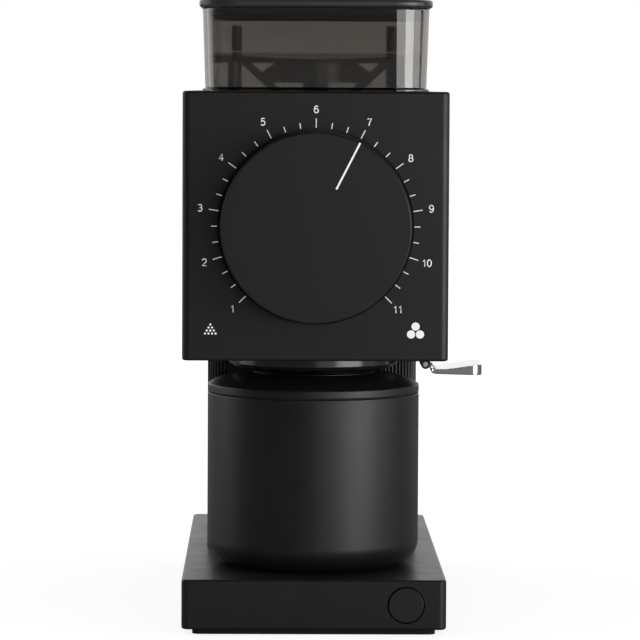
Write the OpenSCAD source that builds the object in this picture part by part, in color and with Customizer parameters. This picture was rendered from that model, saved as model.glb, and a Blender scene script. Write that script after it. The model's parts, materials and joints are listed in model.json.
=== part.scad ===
// Burr coffee grinder: flat slab base, fluted column, box-shaped head with a large
// grind dial, clear bean hopper on top and a lidded grounds cup under the spout.
// Millimetres. X is to the right, Y to the back, Z up. The origin is the centre of
// the foot pad's underside.

/* [Body] */
// Width of the base and the head
body_w = 105; // [100:1:115]
// Length of the base and the head, front to back
body_l = 222; // [216:1:240]
// Corner radius of the base and the head, seen from above
corner_r = 3; // [2:0.5:5]
// Small radius along the other edges of the base and the head
edge_r = 1; // [0.5:0.1:1.5]

/* [Base] */
// Thickness of the rubber foot pad
foot_h = 2.3; // [1:0.1:3]
// How far the foot pad stands in from the sides of the base
foot_inset = 4.2; // [3:0.1:8]
// Height of the base housing
base_h = 19.9; // [18:0.2:26]
// Wall of the base housing
base_wall = 2.6; // [2:0.1:3]
// Thickness of the plate that closes the base from below
cover_t = 2; // [1.5:0.1:3]
// Radius of the start button
button_r = 7; // [5:0.1:7.2]
// Distance of the start button's middle from the side of the base
button_inset = 16; // [13.5:0.5:22]
// Travel of the start button
button_travel = 1.5; // [1:0.1:2]
// Radius of the round hole for the power lead
lead_r = 3.6; // [3:0.1:4.5]

/* [Column] */
// Width of the column
column_w = 88.4; // [84:0.2:94]
// Distance from the front of the body to the front of the column
column_setback = 103; // [101:1:106]
// Distance from the back of the column to the back of the body
column_tail = 6; // [4:1:12]
// Height of the column between base and head
column_h = 86.8; // [84:0.2:100]
// Wall of the column
column_wall = 3; // [2:0.1:4]
// Corner radius of the column
column_r = 8; // [5:0.5:12]

/* [Head] */
// Height of the head
head_h = 106.1; // [104:0.1:115]
// Wall of the head
head_wall = 3; // [2.5:0.1:3.5]

/* [Dial] */
// Radius of the grind dial
dial_r = 37.2; // [32:0.1:40]
// How far the dial stands out from the head
dial_proud = 18; // [14:0.5:22]
// Wall of the dial
dial_wall = 2.6; // [2:0.1:3.5]
// Radius of the dial's spindle
spindle_r = 7; // [6:0.1:8]
// Radius where the pointer line begins
pointer_start_r = 17; // [12:0.5:22]
// Width of the pointer line
pointer_w = 0.7; // [0.5:0.1:1.2]
// Turn of the pointer from straight up, clockwise
pointer_deg = 27; // [0:9:54]
// Number of marks in the ring round the dial
mark_count = 31; // [21:10:41]
// Angle from the first mark to the last
mark_span = 270; // [240:10:290]

/* [Burrs] */
// Radius of the two flat burrs
burr_r = 32; // [30:0.5:33]
// Thickness of each burr
burr_t = 7.5; // [6:0.5:8]
// Radius of the hole through the outer burr
burr_hole_r = 17; // [16:0.5:18]
// Gap between the burr faces at the dial's rest setting
burr_gap = 0.85; // [0.6:0.05:1.2]
// Number of cutting grooves in each burr
burr_grooves = 24; // [16:2:30]
// Length of the feed chamber in front of the outer burr
feed_l = 22.5; // [20:0.5:24]

/* [Motor] */
// Radius of the motor
motor_r = 36; // [33:0.5:38]
// Length of the stator
stator_l = 46; // [40:1:50]
// Radius of the rotor
rotor_r = 19.5; // [16:0.5:21]
// Radius of the motor shaft
shaft_r = 4; // [3.5:0.1:4.5]
// Width of each ball bearing
bearing_w = 7; // [6:0.5:8]
// Outer radius of each ball bearing
bearing_r = 11; // [10:0.5:12]

/* [Spout] */
// Radius of the spout's upper rim
spout_r = 34.5; // [32:0.1:36]
// Radius of the spout's outlet
outlet_r = 23.2; // [20:0.1:24]
// Drop of the spout below the head
spout_drop = 7.5; // [6:0.1:8.4]

/* [Cup] */
// Outer radius of the grounds cup
cup_r = 43.1; // [38:0.1:44.5]
// Wall of the cup
cup_wall = 1.6; // [1.2:0.1:2.5]
// Radius round the foot of the cup
cup_foot_r = 10; // [6:0.5:14]
// Height of the cup's domed lid
cup_lid_h = 8.1; // [7:0.1:10]

/* [Lever] */
// Length of the lever from its pin to its tip
lever_l = 23; // [18:0.5:28]
// Width of the lever, front to back
lever_w = 20; // [16:0.5:22]
// Distance of the lever's pin from the side of the head
lever_inset = 7; // [6.5:0.1:8]

/* [Hopper] */
// Width of the bean hopper at its foot
hopper_w = 87.8; // [84:0.2:92]
// Length of the bean hopper at its foot
hopper_l = 92; // [88:1:100]
// Height of the bean hopper
hopper_h = 32.6; // [30:0.2:45]
// How much wider the hopper is at the top than at the foot
hopper_flare = 2.2; // [0:0.1:3]
// Wall of the hopper
hopper_wall = 2.2; // [1.6:0.1:2.6]
// Corner radius of the hopper
hopper_r = 12.4; // [8:0.5:14]
// Distance from the front of the body to the front of the hopper
hopper_setback = 6; // [5:0.5:8]
// Thickness of the hopper's lid
hopper_lid_t = 3.3; // [2.5:0.1:5]
// How far the hopper's lid stands out beyond the hopper
hopper_lid_lip = 1.3; // [0.8:0.1:2.5]

/* [Hidden] */
$fn = 64;

// Clearances
run_gap = 0.05;      // round a shaft or pin that turns or slides
free_gap = 0.3;      // between pieces that move past each other
fit_gap = 0.2;       // round a plate or plug that is set into a recess
joint_gap = 0.02;    // round a hub that is fixed on its shaft

// Heights
base_top = foot_h + base_h;
base_inner_top = base_top - base_wall;
head_bottom = base_top + column_h;
head_floor = head_bottom + head_wall;
head_top = head_bottom + head_h;
head_ceiling = head_top - head_wall;
axis_z = head_bottom + head_h / 2;
cover_top = foot_h + cover_t;

// Places from front to back
front_y = -body_l / 2;
rear_y = body_l / 2;
shell_in_y = front_y + head_wall;
plate_t = 3.5;
plate_y = shell_in_y + 5;
chamber_wall = 4;
front_disc_t = 3;
chamber_y = plate_y + plate_t + 2;
feed_y = chamber_y + front_disc_t;
carrier_t = 8;
carrier_y = feed_y + feed_l;
outer_burr_y = carrier_y + carrier_t;
burr_face_y = outer_burr_y + burr_t;
inner_face_y = burr_face_y + burr_gap;
rotor_carrier_y = inner_face_y + burr_t;
rotor_carrier_t = 5.5;
chamber_back_y = rotor_carrier_y + rotor_carrier_t + 1;
motor_y = chamber_back_y + chamber_wall;
bell_l = 16;
stator_y = motor_y + bell_l;
rear_bell_y = stator_y + stator_l;
rear_bell_l = 22;
rear_bearing_y = rear_bell_y + rear_bell_l - bearing_w;
fan_y = rear_bell_y + rear_bell_l + 3;
fan_l = 10;
shaft_end_y = fan_y + fan_l + 2;
neck_y = feed_y + feed_l / 2;

// Column
column_y0 = front_y + column_setback;
column_y1 = rear_y - column_tail;
column_mid_y = (column_y0 + column_y1) / 2;
rod_r = 2.4;
rod_boss_r = 6.5;
rod_inset = 9;
rod_places = [
    for (sx = [-1, 1]) for (y = [column_y0 + rod_inset, column_y1 - rod_inset])
        [sx * (column_w / 2 - rod_inset), y]
];
rod_head_h = 4;
rod_nut_h = 4;
wire_hole_r = 6;
wire_r = 2.5;

// Base
button_x = body_w / 2 - button_inset;
button_z = foot_h + base_h / 2;
button_proud = 0.6;
button_gap = 0.45;
button_cap_l = 7;
button_flange_t = 1.2;
stem_r = 2;
stem_l = 7;
button_face_t = 2;
switch_size = [12, 7, 9];
switch_y = front_y - button_proud + button_cap_l + stem_l + button_travel + 0.5;
spring_seat_y = switch_y - button_travel - 1.3;
screw_r = 1.5;
screw_l = 9;
screw_head_r = 2.8;
screw_head_h = 1.2;
base_boss_r = 3.5;
base_screw_front = 41;
base_screw_mid_y = 12;
base_screw_back = 17;
base_screw_places = [
    for (sx = [-1, 1]) for (y = [front_y + base_screw_front, base_screw_mid_y, rear_y - base_screw_back])
        [sx * (body_w / 2 - base_wall - base_boss_r - 2), y]
];
board_t = 1.6;
board_size = [66, 80];
board_y = column_mid_y - 4;
board_z = cover_top + 4;
board_post_r = 2.5;
relay_size = [16, 14];
supply_size = [22, 20];
terminal_size = [18, 8];
capacitor_r = 5;
plug_size = [14, 10, 3];
part_r = 0.8;
board_places = [
    for (sx = [-1, 1]) for (sy = [-1, 1])
        [sx * (board_size[0] / 2 - 5), board_y + sy * (board_size[1] / 2 - 5)]
];
gland_r = lead_r + 2.4;
gland_z = foot_h + base_h / 2;
gland_x = -25;

// Dial
dial_back_y = front_y - free_gap;
dial_front_y = front_y - dial_proud;
dial_edge_r = 0.7;
dial_hub_r = spindle_r + 3;
dial_socket_y = dial_front_y + dial_wall;
bushing_wall = 3;
bushing_l = head_wall + 2.3;
thread_r = spindle_r - 1;
pointer_depth = 0.5;
mark_in_r = dial_r + 1.6;
mark_minor_l = 2.3;
mark_major_l = 3.7;
mark_w = 0.36;
mark_t = 0.1;

// Chamber
bore_r = burr_r + 4;
barrel_r = bore_r + chamber_wall;
pin_r = 2.5;
pin_pitch_r = 27;
feed_boss_w = 17;
exit_w = 18;
exit_y0 = burr_face_y - 3;
exit_l = 14;
chute_wall = 3;
foot_w = 10;
burr_screw_r = 1.8;
burr_screw_pitch_r = 24.5;
between_pins = 30;
auger_r = 14;
auger_hub_r = 7;
rotor_hub_r = 12;
bearing_seat_r = bearing_r + 3;
bell_wall = 3;
commutator_r = 9;

// Spout and cup
cup_y = exit_y0 + exit_l / 2 - 4.5;
spout_z = head_bottom - spout_drop;
spout_rim_h = 4.1;
cup_z = base_top + free_gap;
cup_lid_top = spout_z - free_gap - 0.1;
cup_collar_h = 0.2;
cup_dome_z = cup_lid_top - cup_collar_h;
cup_lid_z = cup_lid_top - cup_lid_h;
gasket_t = 0.4;
cup_top = cup_lid_z - gasket_t;
collar_r = outlet_r + 1.5;
dome_arc_r = 37.5;

// Lever
lever_x = body_w / 2 - lever_inset;
lever_pin_r = 1;
lever_root_r = 1.9;
lever_z = head_bottom - 4.6;
lever_root_w = 8;
ear_t = 2;
ear_gap = 12.6;
lever_tip_h = 4.4;
lever_under = 4.3;
knock_reach = lever_x - exit_w / 2 - chute_wall - 1.5;
knock_arm_t = 2.5;

// Hopper
hopper_y0 = front_y + hopper_setback;
hopper_mid_y = hopper_y0 + hopper_l / 2;
hopper_top = head_top + hopper_h;
flange_t = 0.9;
flange_w = 1.2;
dish_t = 4.3;
dish_z = head_top + 11.4;
dish_gap = 0.15;
well_r = 15.5;
neck_w = 9.8;
neck_l = feed_l - 3.5;
neck_wall = 1.2;
neck_r = 4.6;
collar_w = 21.6;
collar_chamfer = 4.2;
collar_low_z = head_top + 3.4;
collar_mid_z = head_top + 7.2;
post_r = 2.4;
post_x = 32.4;
tall_post_h = 27;
post_cup_h = 9;
strut_l = 24;
strut_t = 2.2;
strut_foot_in = 8;
neck_plunge = 8;
dish_slope_r = 78;
skirt_h = 2.7;
skirt_t = 1.8;
seal_t = 1.2;

// Outline with round corners, its size and corner radius given
module round_rect(w, l, r) {
    square([w - 2 * r, l], center = true);
    square([w, l - 2 * r], center = true);
    for (sx = [-1, 1])
        for (sy = [-1, 1])
            translate([sx * (w / 2 - r), sy * (l / 2 - r)])
                circle(r);
}

// Slab with round corners, standing on z = 0
module slab(w, l, h, r) {
    linear_extrude(h)
        round_rect(w, l, r);
}

// Slab whose upright edges have radius r and whose other edges have radius e
module soft_block(w, l, h, r, e) {
    intersection() {
        slab(w, l, h, r);
        translate([0, l / 2, h / 2])
            rotate([90, 0, 0])
                slab(w, h, l, e);
        translate([-w / 2, 0, h / 2])
            rotate([90, 0, 90])
                slab(l, h, w, e);
    }
}

// Places its children on the dial's axis, with their +Z to the back, at distance y
module on_axis(y) {
    translate([0, y, axis_z])
        rotate([-90, 0, 0])
            children();
}

// Ring or tube on z = 0
module ring(r_out, r_in, h) {
    difference() {
        cylinder(h = h, r = r_out);
        translate([0, 0, -1])
            cylinder(h = h + 2, r = r_in);
    }
}

// Pan-head screw along +Z with its head below z = 0
module screw(r, l, head_r, head_h) {
    cylinder(h = l, r = r);
    difference() {
        translate([0, 0, -head_h])
            cylinder(h = head_h, r = head_r);
        translate([0, 0, -head_h - 0.1])
            cylinder(h = head_h / 2, r = head_r * 0.45, $fn = 6);
    }
}

// Copies its children n times round the Z axis, at radius r
module around(n, r, start = 0) {
    for (i = [0 : n - 1])
        rotate([0, 0, start + i * 360 / n])
            translate([r, 0, 0])
                children();
}

// Points of a wire of radius wire, wound turns times at radius r and pitch
function coil_ring(t, r, pitch, wire, sides) = [
    for (s = [0 : sides - 1])
        let (a = 360 * t, b = 360 * s / sides, q = r + wire * cos(b))
            [q * cos(a), q * sin(a), pitch * t + wire * sin(b)]
];

// Coil spring standing on z = 0, wire and all
module coil_spring(r, pitch, wire, turns) {
    sides = 6;
    per_turn = 14;
    rings = round(turns * per_turn);
    points = [for (k = [0 : rings]) each coil_ring(k / per_turn, r, pitch, wire, sides)];
    sides_faces = [
        for (k = [0 : rings - 1])
            for (s = [0 : sides - 1])
                let (a = k * sides + s, b = k * sides + (s + 1) % sides)
                    each [[a, b, b + sides], [a, b + sides, a + sides]]
    ];
    first_cap = [[for (s = [sides - 1 : -1 : 0]) s]];
    last_cap = [[for (s = [0 : sides - 1]) rings * sides + s]];
    translate([0, 0, wire])
        polyhedron(points, concat(sides_faces, first_cap, last_cap), convexity = 10);
}

// ---- Base ----

// Rubber pad under the whole base
module foot_pad() {
    color("#141414")
        slab(body_w - 2 * foot_inset, body_l - 2 * foot_inset, foot_h, corner_r);
}

// Plate that closes the base from below
module base_cover() {
    color("#2b2b2d")
        difference() {
            translate([0, 0, foot_h])
                slab(
                    body_w - 2 * base_wall - 2 * fit_gap,
                    body_l - 2 * base_wall - 2 * fit_gap, cover_t, edge_r
                );
            for (p = base_screw_places)
                translate([p[0], p[1], foot_h - 1]) {
                    cylinder(h = cover_t + 2, r = screw_r + 0.2);
                    cylinder(h = 1 + screw_head_h + 0.1, r = screw_head_r + 0.2);
                }
        }
}

// Shell of the base, open below
module base_housing() {
    inner_h = base_inner_top - foot_h;
    color("#1b1b1c")
        difference() {
            union() {
                difference() {
                    translate([0, 0, foot_h])
                        soft_block(body_w, body_l, base_h, corner_r, edge_r);
                    translate([0, 0, foot_h - 1])
                        slab(body_w - 2 * base_wall, body_l - 2 * base_wall, inner_h + 1, edge_r);
                }
                for (p = base_screw_places)
                    translate([p[0], p[1], cover_top])
                        cylinder(h = base_inner_top - cover_top + 0.5, r = base_boss_r);
                for (p = board_places)
                    translate([p[0], p[1], board_z + board_t])
                        cylinder(h = base_inner_top - board_z - board_t + 0.5, r = board_post_r);
            }
            for (p = base_screw_places)
                translate([p[0], p[1], cover_top - 1])
                    cylinder(h = 10, r = screw_r + joint_gap);
            for (p = rod_places)
                translate([p[0], p[1], base_inner_top - 1])
                    cylinder(h = base_wall + 2, r = rod_r + 0.1);
            translate([0, column_mid_y, base_inner_top - 1])
                cylinder(h = base_wall + 2, r = wire_hole_r);
            translate([button_x, front_y - 1, button_z])
                rotate([-90, 0, 0])
                    cylinder(h = base_wall + 2, r = button_r + button_gap);
            translate([gland_x, rear_y - base_wall - 1, gland_z])
                rotate([-90, 0, 0])
                    cylinder(h = base_wall + 2, r = gland_r);
        }
}

// Screws that hold the base cover
module base_screws() {
    color("#8c8c90")
        for (p = base_screw_places)
            translate([p[0], p[1], foot_h + screw_head_h])
                screw(screw_r, screw_l, screw_head_r, screw_head_h);
}

// Circuit board in the back half of the base
module control_board() {
    color("#1f5a36")
        translate([0, board_y, board_z])
            slab(board_size[0], board_size[1], board_t, 2);
}

// Relay, transformer, connectors and capacitor on the underside of the board
module board_parts() {
    part_h = board_z - cover_top - 0.5;
    quarter_x = board_size[0] / 4;
    quarter_y = board_size[1] / 4;
    color("#3a3a3e") {
        translate([0, board_y, board_z - part_h]) {
            translate([-quarter_x, -quarter_y, 0])
                slab(relay_size[0], relay_size[1], part_h, part_r);
            translate([quarter_x, 0, 0])
                slab(supply_size[0], supply_size[1], part_h, part_r);
            translate([-quarter_x, quarter_y, 0])
                cylinder(h = part_h, r = capacitor_r);
            translate([quarter_x, -quarter_y, 0])
                slab(terminal_size[0], terminal_size[1], part_h, part_r);
        }
        // Plug that the wiring loom goes into
        translate([0, column_mid_y, board_z + board_t])
            slab(plug_size[0], plug_size[1], plug_size[2], part_r);
    }
}

// Round start button with its stem, pushed towards the back
module start_button() {
    color("#1d1d1e")
        translate([button_x, front_y - button_proud, button_z])
            rotate([-90, 0, 0]) {
                difference() {
                    union() {
                        translate([0, 0, 0.4])
                            cylinder(h = button_cap_l - 0.4, r = button_r);
                        cylinder(h = 0.4, r1 = button_r - 0.4, r2 = button_r);
                    }
                    translate([0, 0, button_face_t])
                        cylinder(h = button_cap_l, r = button_r - 1.4);
                }
                translate([0, 0, button_face_t - 0.2])
                    cylinder(h = button_cap_l + stem_l - button_face_t + 0.2, r = stem_r);
                // Flange with flats above and below, which keeps the button in
                translate([0, 0, base_wall + button_proud + free_gap])
                    difference() {
                        intersection() {
                            cylinder(h = button_flange_t, r = button_r + button_gap + 0.9);
                            translate([-2 * button_r, -button_r, -1])
                                cube([4 * button_r, 2 * button_r, button_flange_t + 2]);
                        }
                        translate([0, 0, -1])
                            cylinder(h = button_flange_t + 2, r = button_r - 0.3);
                    }
            }
}

// Spring between the start button and its switch
module button_spring() {
    spring_y = front_y - button_proud + button_face_t + 0.1;
    spring_l = spring_seat_y - 0.1 - spring_y;
    wire = 0.35;
    turns = 6;
    color("#b9b9bd")
        translate([button_x, spring_y, button_z])
            rotate([-90, 0, 0])
                coil_spring(stem_r + 1.4, (spring_l - 2 * wire) / turns, wire, turns);
}

// Micro switch on its bracket behind the start button
module button_switch() {
    color("#303036")
        translate([button_x - switch_size[0] / 2, switch_y, cover_top]) {
            difference() {
                cube([switch_size[0], switch_size[1], button_z - cover_top + switch_size[2] / 2]);
                translate([-1, 2, 0.8])
                    cube([switch_size[0] + 2, switch_size[1] - 4, 1.4]);
            }
            // Plate that the spring pushes against
            translate([0.5, spring_seat_y - switch_y, 0])
                difference() {
                    cube([switch_size[0] - 1, 1, button_z - cover_top + 4.4]);
                    translate([switch_size[0] / 2 - 0.5, -1, button_z - cover_top])
                        rotate([-90, 0, 0])
                            cylinder(h = 3, r = stem_r + free_gap);
                }
            translate([0.5, spring_seat_y - switch_y, 0])
                cube([switch_size[0] - 1, switch_y - spring_seat_y + 1, 1]);
        }
}

// Bushing that the power lead comes out of
module lead_gland() {
    color("#161616")
        translate([gland_x, rear_y - base_wall, gland_z])
            rotate([-90, 0, 0])
                difference() {
                    union() {
                        translate([0, 0, -3])
                            cylinder(h = 3, r = gland_r + 1);
                        cylinder(h = base_wall, r = gland_r - joint_gap);
                    }
                    translate([0, 0, -4])
                        cylinder(h = base_wall + 5, r = lead_r);
                }
}

// ---- Column ----

// Hollow column, with a boss for a tie rod in each corner
module column() {
    column_l = column_y1 - column_y0;
    color("#202022")
        translate([0, column_mid_y, base_top])
            difference() {
                linear_extrude(column_h)
                    union() {
                        difference() {
                            round_rect(column_w, column_l, column_r);
                            round_rect(
                                column_w - 2 * column_wall,
                                column_l - 2 * column_wall, column_r - column_wall
                            );
                        }
                        for (p = rod_places)
                            translate([p[0], p[1] - column_mid_y])
                                circle(rod_boss_r);
                    }
                for (p = rod_places)
                    translate([p[0], p[1] - column_mid_y, -1])
                        cylinder(h = column_h + 2, r = rod_r + 0.1);
            }
}

// Long screws that clamp base, column and head together, and their nuts
module tie_rods() {
    color("#8c8c90")
        for (p = rod_places)
            translate([p[0], p[1], 0]) {
                translate([0, 0, base_inner_top])
                    screw(rod_r, head_floor + rod_nut_h + 1 - base_inner_top, rod_r + 1.8, rod_head_h);
                translate([0, 0, head_floor])
                    difference() {
                        cylinder(h = rod_nut_h, r = 4.4, $fn = 6);
                        translate([0, 0, -1])
                            cylinder(h = rod_nut_h + 2, r = rod_r + joint_gap);
                    }
            }
}

// Wires from the control board to the motor
module wiring_loom() {
    loom_z = board_z + board_t + plug_size[2];
    color("#3b2020")
        translate([0, column_mid_y, loom_z])
            cylinder(h = head_floor + 2 - loom_z, r = wire_r);
}

// ---- Head ----

// Where the rear cover's screws go
rear_boss_r = 4;
rear_cover_t = 3;
rear_boss_l = 14;
rear_screw_places = [
    for (sx = [-1, 1]) for (z = [head_floor + rear_boss_r - 0.5, head_ceiling - rear_boss_r + 0.5])
        [sx * (body_w / 2 - head_wall - rear_boss_r + 0.5), z]
];

// Box of the head, open at the back
module head_shell() {
    inner_w = body_w - 2 * head_wall;
    color("#1e1e1f")
        difference() {
            union() {
                difference() {
                    translate([0, 0, head_bottom])
                        soft_block(body_w, body_l, head_h, corner_r, edge_r);
                    translate([-inner_w / 2, shell_in_y, head_floor])
                        cube([inner_w, body_l, head_h - 2 * head_wall]);
                }
                for (p = rear_screw_places)
                    translate([p[0], rear_y - rear_cover_t - rear_boss_l, p[1]])
                        rotate([-90, 0, 0])
                            cylinder(h = rear_boss_l, r = rear_boss_r);
            }
            on_axis(front_y - 1)
                cylinder(h = head_wall + 2, r = spindle_r + run_gap + bushing_wall);
            for (p = rear_screw_places)
                translate([p[0], rear_y - rear_cover_t - 10, p[1]])
                    rotate([-90, 0, 0])
                        cylinder(h = 12, r = screw_r + joint_gap);
            for (p = rod_places)
                translate([p[0], p[1], head_bottom - 1])
                    cylinder(h = head_wall + 2, r = rod_r + 0.1);
            translate([0, column_mid_y, head_bottom - 1])
                cylinder(h = head_wall + 2, r = wire_hole_r);
            translate([0, neck_y, head_ceiling - 1])
                neck_block(free_gap, head_wall + 2);
            // Way out for the grounds
            translate([
                -exit_w / 2 - chute_wall - fit_gap,
                exit_y0 - chute_wall - fit_gap, head_bottom - 1
            ])
                cube([
                    exit_w + 2 * chute_wall + 2 * fit_gap,
                    exit_l + 2 * chute_wall + 2 * fit_gap, head_wall + 2
                ]);
            // Slot that the lever's arm comes through
            translate([lever_x - 4.5, cup_y - lever_root_w / 2 - 1, head_bottom - 1])
                cube([8, lever_root_w + 2, head_wall + 2]);
        }
}

// Plate with air slots that closes the head
module rear_cover() {
    cover_w = body_w - 2 * head_wall - 2 * fit_gap;
    cover_h = head_h - 2 * head_wall - 2 * fit_gap;
    slot_count = 9;
    slot_pitch = 7;
    slot_w = 54;
    slot_h = 2.6;
    color("#1c1c1d")
        difference() {
            translate([-cover_w / 2, rear_y - rear_cover_t, axis_z - cover_h / 2])
                cube([cover_w, rear_cover_t, cover_h]);
            for (i = [0 : slot_count - 1])
                translate([0, rear_y + 1, axis_z + (i - (slot_count - 1) / 2) * slot_pitch])
                    rotate([90, 0, 0])
                        slab(slot_w, slot_h, rear_cover_t + 2, slot_h / 2 - 0.05);
            for (p = rear_screw_places)
                translate([p[0], rear_y - rear_cover_t - 1, p[1]])
                    rotate([-90, 0, 0]) {
                        cylinder(h = rear_cover_t + 2, r = screw_r + 0.2);
                        translate([0, 0, 1 + rear_cover_t - screw_head_h])
                            cylinder(h = screw_head_h + 1, r = screw_head_r + 0.2);
                    }
        }
}

// Screws of the rear cover
module rear_screws() {
    color("#6f6f73")
        for (p = rear_screw_places)
            translate([p[0], rear_y - screw_head_h, p[1]])
                rotate([90, 0, 0])
                    screw(screw_r, screw_l, screw_head_r, screw_head_h);
}

// Printed marks round the dial, a long one at every whole number
module scale_marks() {
    step = mark_span / (mark_count - 1);
    color("#d9d9d9")
        for (i = [0 : mark_count - 1])
            translate([0, front_y - mark_t, axis_z])
                rotate([0, -mark_span / 2 + i * step, 0])
                    translate([-mark_w / 2, 0, mark_in_r])
                        cube([mark_w, mark_t, i % 3 == 0 ? mark_major_l : mark_minor_l]);
}

// Bronze bushing that the dial's spindle turns in
module dial_bushing() {
    color("#a87b42")
        on_axis(front_y + 0.5) {
            ring(spindle_r + run_gap + bushing_wall - joint_gap, spindle_r + run_gap, bushing_l);
            translate([0, 0, head_wall - 0.5])
                ring(spindle_r + bushing_wall + 3, spindle_r + run_gap + bushing_wall - 0.5, 2);
        }
}

// ---- Dial ----

// Cap of the dial, with a hub that takes the spindle
module dial_knob() {
    dial_l = dial_back_y - dial_front_y;
    color("#242425")
        difference() {
            on_axis(dial_front_y)
                difference() {
                    union() {
                        difference() {
                            rotate_extrude()
                                union() {
                                    square([dial_r - dial_edge_r, dial_l]);
                                    translate([0, dial_edge_r])
                                        square([dial_r, dial_l - dial_edge_r]);
                                    translate([dial_r - dial_edge_r, dial_edge_r])
                                        intersection() {
                                            circle(dial_edge_r);
                                            translate([0, -dial_edge_r])
                                                square(2 * dial_edge_r);
                                        }
                                }
                            translate([0, 0, dial_wall])
                                cylinder(h = dial_l, r = dial_r - dial_wall);
                        }
                        translate([0, 0, dial_wall - 0.5])
                            cylinder(h = dial_l - dial_wall - 1, r = dial_hub_r);
                        // Ribs from the hub to the rim
                        for (a = [0 : 60 : 300])
                            rotate([0, 0, a])
                                translate([dial_hub_r - 1, -0.8, dial_wall - 0.5])
                                    cube([dial_r - dial_wall - dial_hub_r + 1.5, 1.6, 6]);
                    }
                    translate([0, 0, dial_wall])
                        cylinder(h = dial_l, r = spindle_r + joint_gap);
                }
            pointer_bar(dial_r, 1);
        }
}

// Bar along the pointer line, out to radius r_out, standing out by extra
module pointer_bar(r_out, extra) {
    translate([0, dial_front_y - extra, axis_z])
        rotate([0, pointer_deg, 0])
            translate([-pointer_w / 2, 0, pointer_start_r])
                cube([pointer_w, pointer_depth + extra, r_out + extra - pointer_start_r]);
}

// White line let into the dial's face
module dial_pointer() {
    color("#ececec")
        pointer_bar(dial_r - dial_edge_r, 0);
}

// Steel spindle with a thrust collar and a threaded end
module dial_spindle() {
    collar_y = front_y + 0.5 + bushing_l + run_gap;
    thread_l = plate_y + plate_t - collar_y + 1;
    color("#a5a5a8") {
        on_axis(dial_socket_y)
            cylinder(h = collar_y - dial_socket_y, r = spindle_r);
        on_axis(collar_y)
            difference() {
                union() {
                    cylinder(h = 1, r = spindle_r + 2);
                    cylinder(h = thread_l, r = thread_r - 0.8);
                    for (z = [0.8 : 1.5 : thread_l - 0.8])
                        translate([0, 0, z])
                            cylinder(h = 0.8, r = thread_r);
                }
                translate([0, 0, thread_l - 1])
                    cylinder(h = 2, r = 2);
            }
    }
}

// ---- Outer burr, which the dial moves to and fro ----

// Threaded plate that the spindle moves
module adjuster_plate() {
    color("#b08d4f")
        on_axis(plate_y)
            difference() {
                cylinder(h = plate_t, r = pin_pitch_r + pin_r + 2);
                around(3, (thread_r + pin_pitch_r + pin_r) / 2, between_pins)
                    translate([0, 0, -1])
                        cylinder(h = plate_t + 2, r = 6);
                translate([0, 0, -1])
                    cylinder(h = plate_t + 2, r = thread_r + run_gap);
            }
}

// Pins that carry the plate's motion through the feed chamber
module guide_pins() {
    color("#b5b5b8")
        on_axis(plate_y + plate_t)
            around(3, pin_pitch_r, 90)
                cylinder(h = carrier_y - plate_y - plate_t, r = pin_r);
}

// Ring that holds the outer burr
module burr_carrier() {
    color("#9a9a9d")
        on_axis(carrier_y)
            difference() {
                ring(bore_r - run_gap, burr_hole_r, carrier_t);
                around(3, burr_screw_pitch_r, between_pins)
                    translate([0, 0, -1])
                        cylinder(h = carrier_t + 2, r = burr_screw_r + joint_gap);
            }
}

// Flat burr with its cutting face on z = burr_t
module burr(hole_r) {
    land_r = hole_r + 4.5;
    groove_deep = 1.1;
    groove_l = 2 * (burr_r - land_r);
    difference() {
        ring(burr_r, hole_r, burr_t);
        // Dish that lets the beans in
        translate([0, 0, burr_t - 2.2])
            cylinder(h = 2.3, r1 = hole_r, r2 = land_r);
        // Slanting grooves with one steep side
        for (i = [0 : burr_grooves - 1])
            rotate([0, 0, i * 360 / burr_grooves])
                translate([land_r, 1.3, burr_t - groove_deep])
                    rotate([0, 0, 12])
                        rotate([90, 0, 90])
                            linear_extrude(groove_l)
                                polygon([
                                    [0, 0], [-0.9, 2 * groove_deep], [2.6, 2 * groove_deep]
                                ]);
        around(3, burr_screw_pitch_r, between_pins) {
            translate([0, 0, -1])
                cylinder(h = burr_t + 2, r = burr_screw_r + 0.2);
            translate([0, 0, burr_t - 3])
                cylinder(h = 4, r = burr_screw_r + 1.8);
        }
    }
}

// Three screws that hold a burr, heads towards its cutting face
module burr_screws() {
    color("#77777b")
        around(3, burr_screw_pitch_r, between_pins)
            translate([0, 0, burr_t - 3])
                rotate([180, 0, 0])
                    screw(burr_screw_r, burr_t - 3 + 4.5, burr_screw_r + 1.4, 1.8);
}

// Burr that stays still and is moved by the dial
module outer_burr() {
    color("#c4c4c6")
        on_axis(outer_burr_y)
            burr(burr_hole_r);
}

// Screws of the outer burr
module outer_burr_screws() {
    on_axis(outer_burr_y)
        burr_screws();
}

// ---- Grinding chamber ----

// Disc that closes the chamber in front and guides the pins
module chamber_front() {
    color("#7d7d80")
        on_axis(chamber_y)
            difference() {
                cylinder(h = front_disc_t, r = barrel_r);
                around(3, pin_pitch_r, 90)
                    translate([0, 0, -1])
                        cylinder(h = front_disc_t + 2, r = pin_r + run_gap);
            }
}

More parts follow.
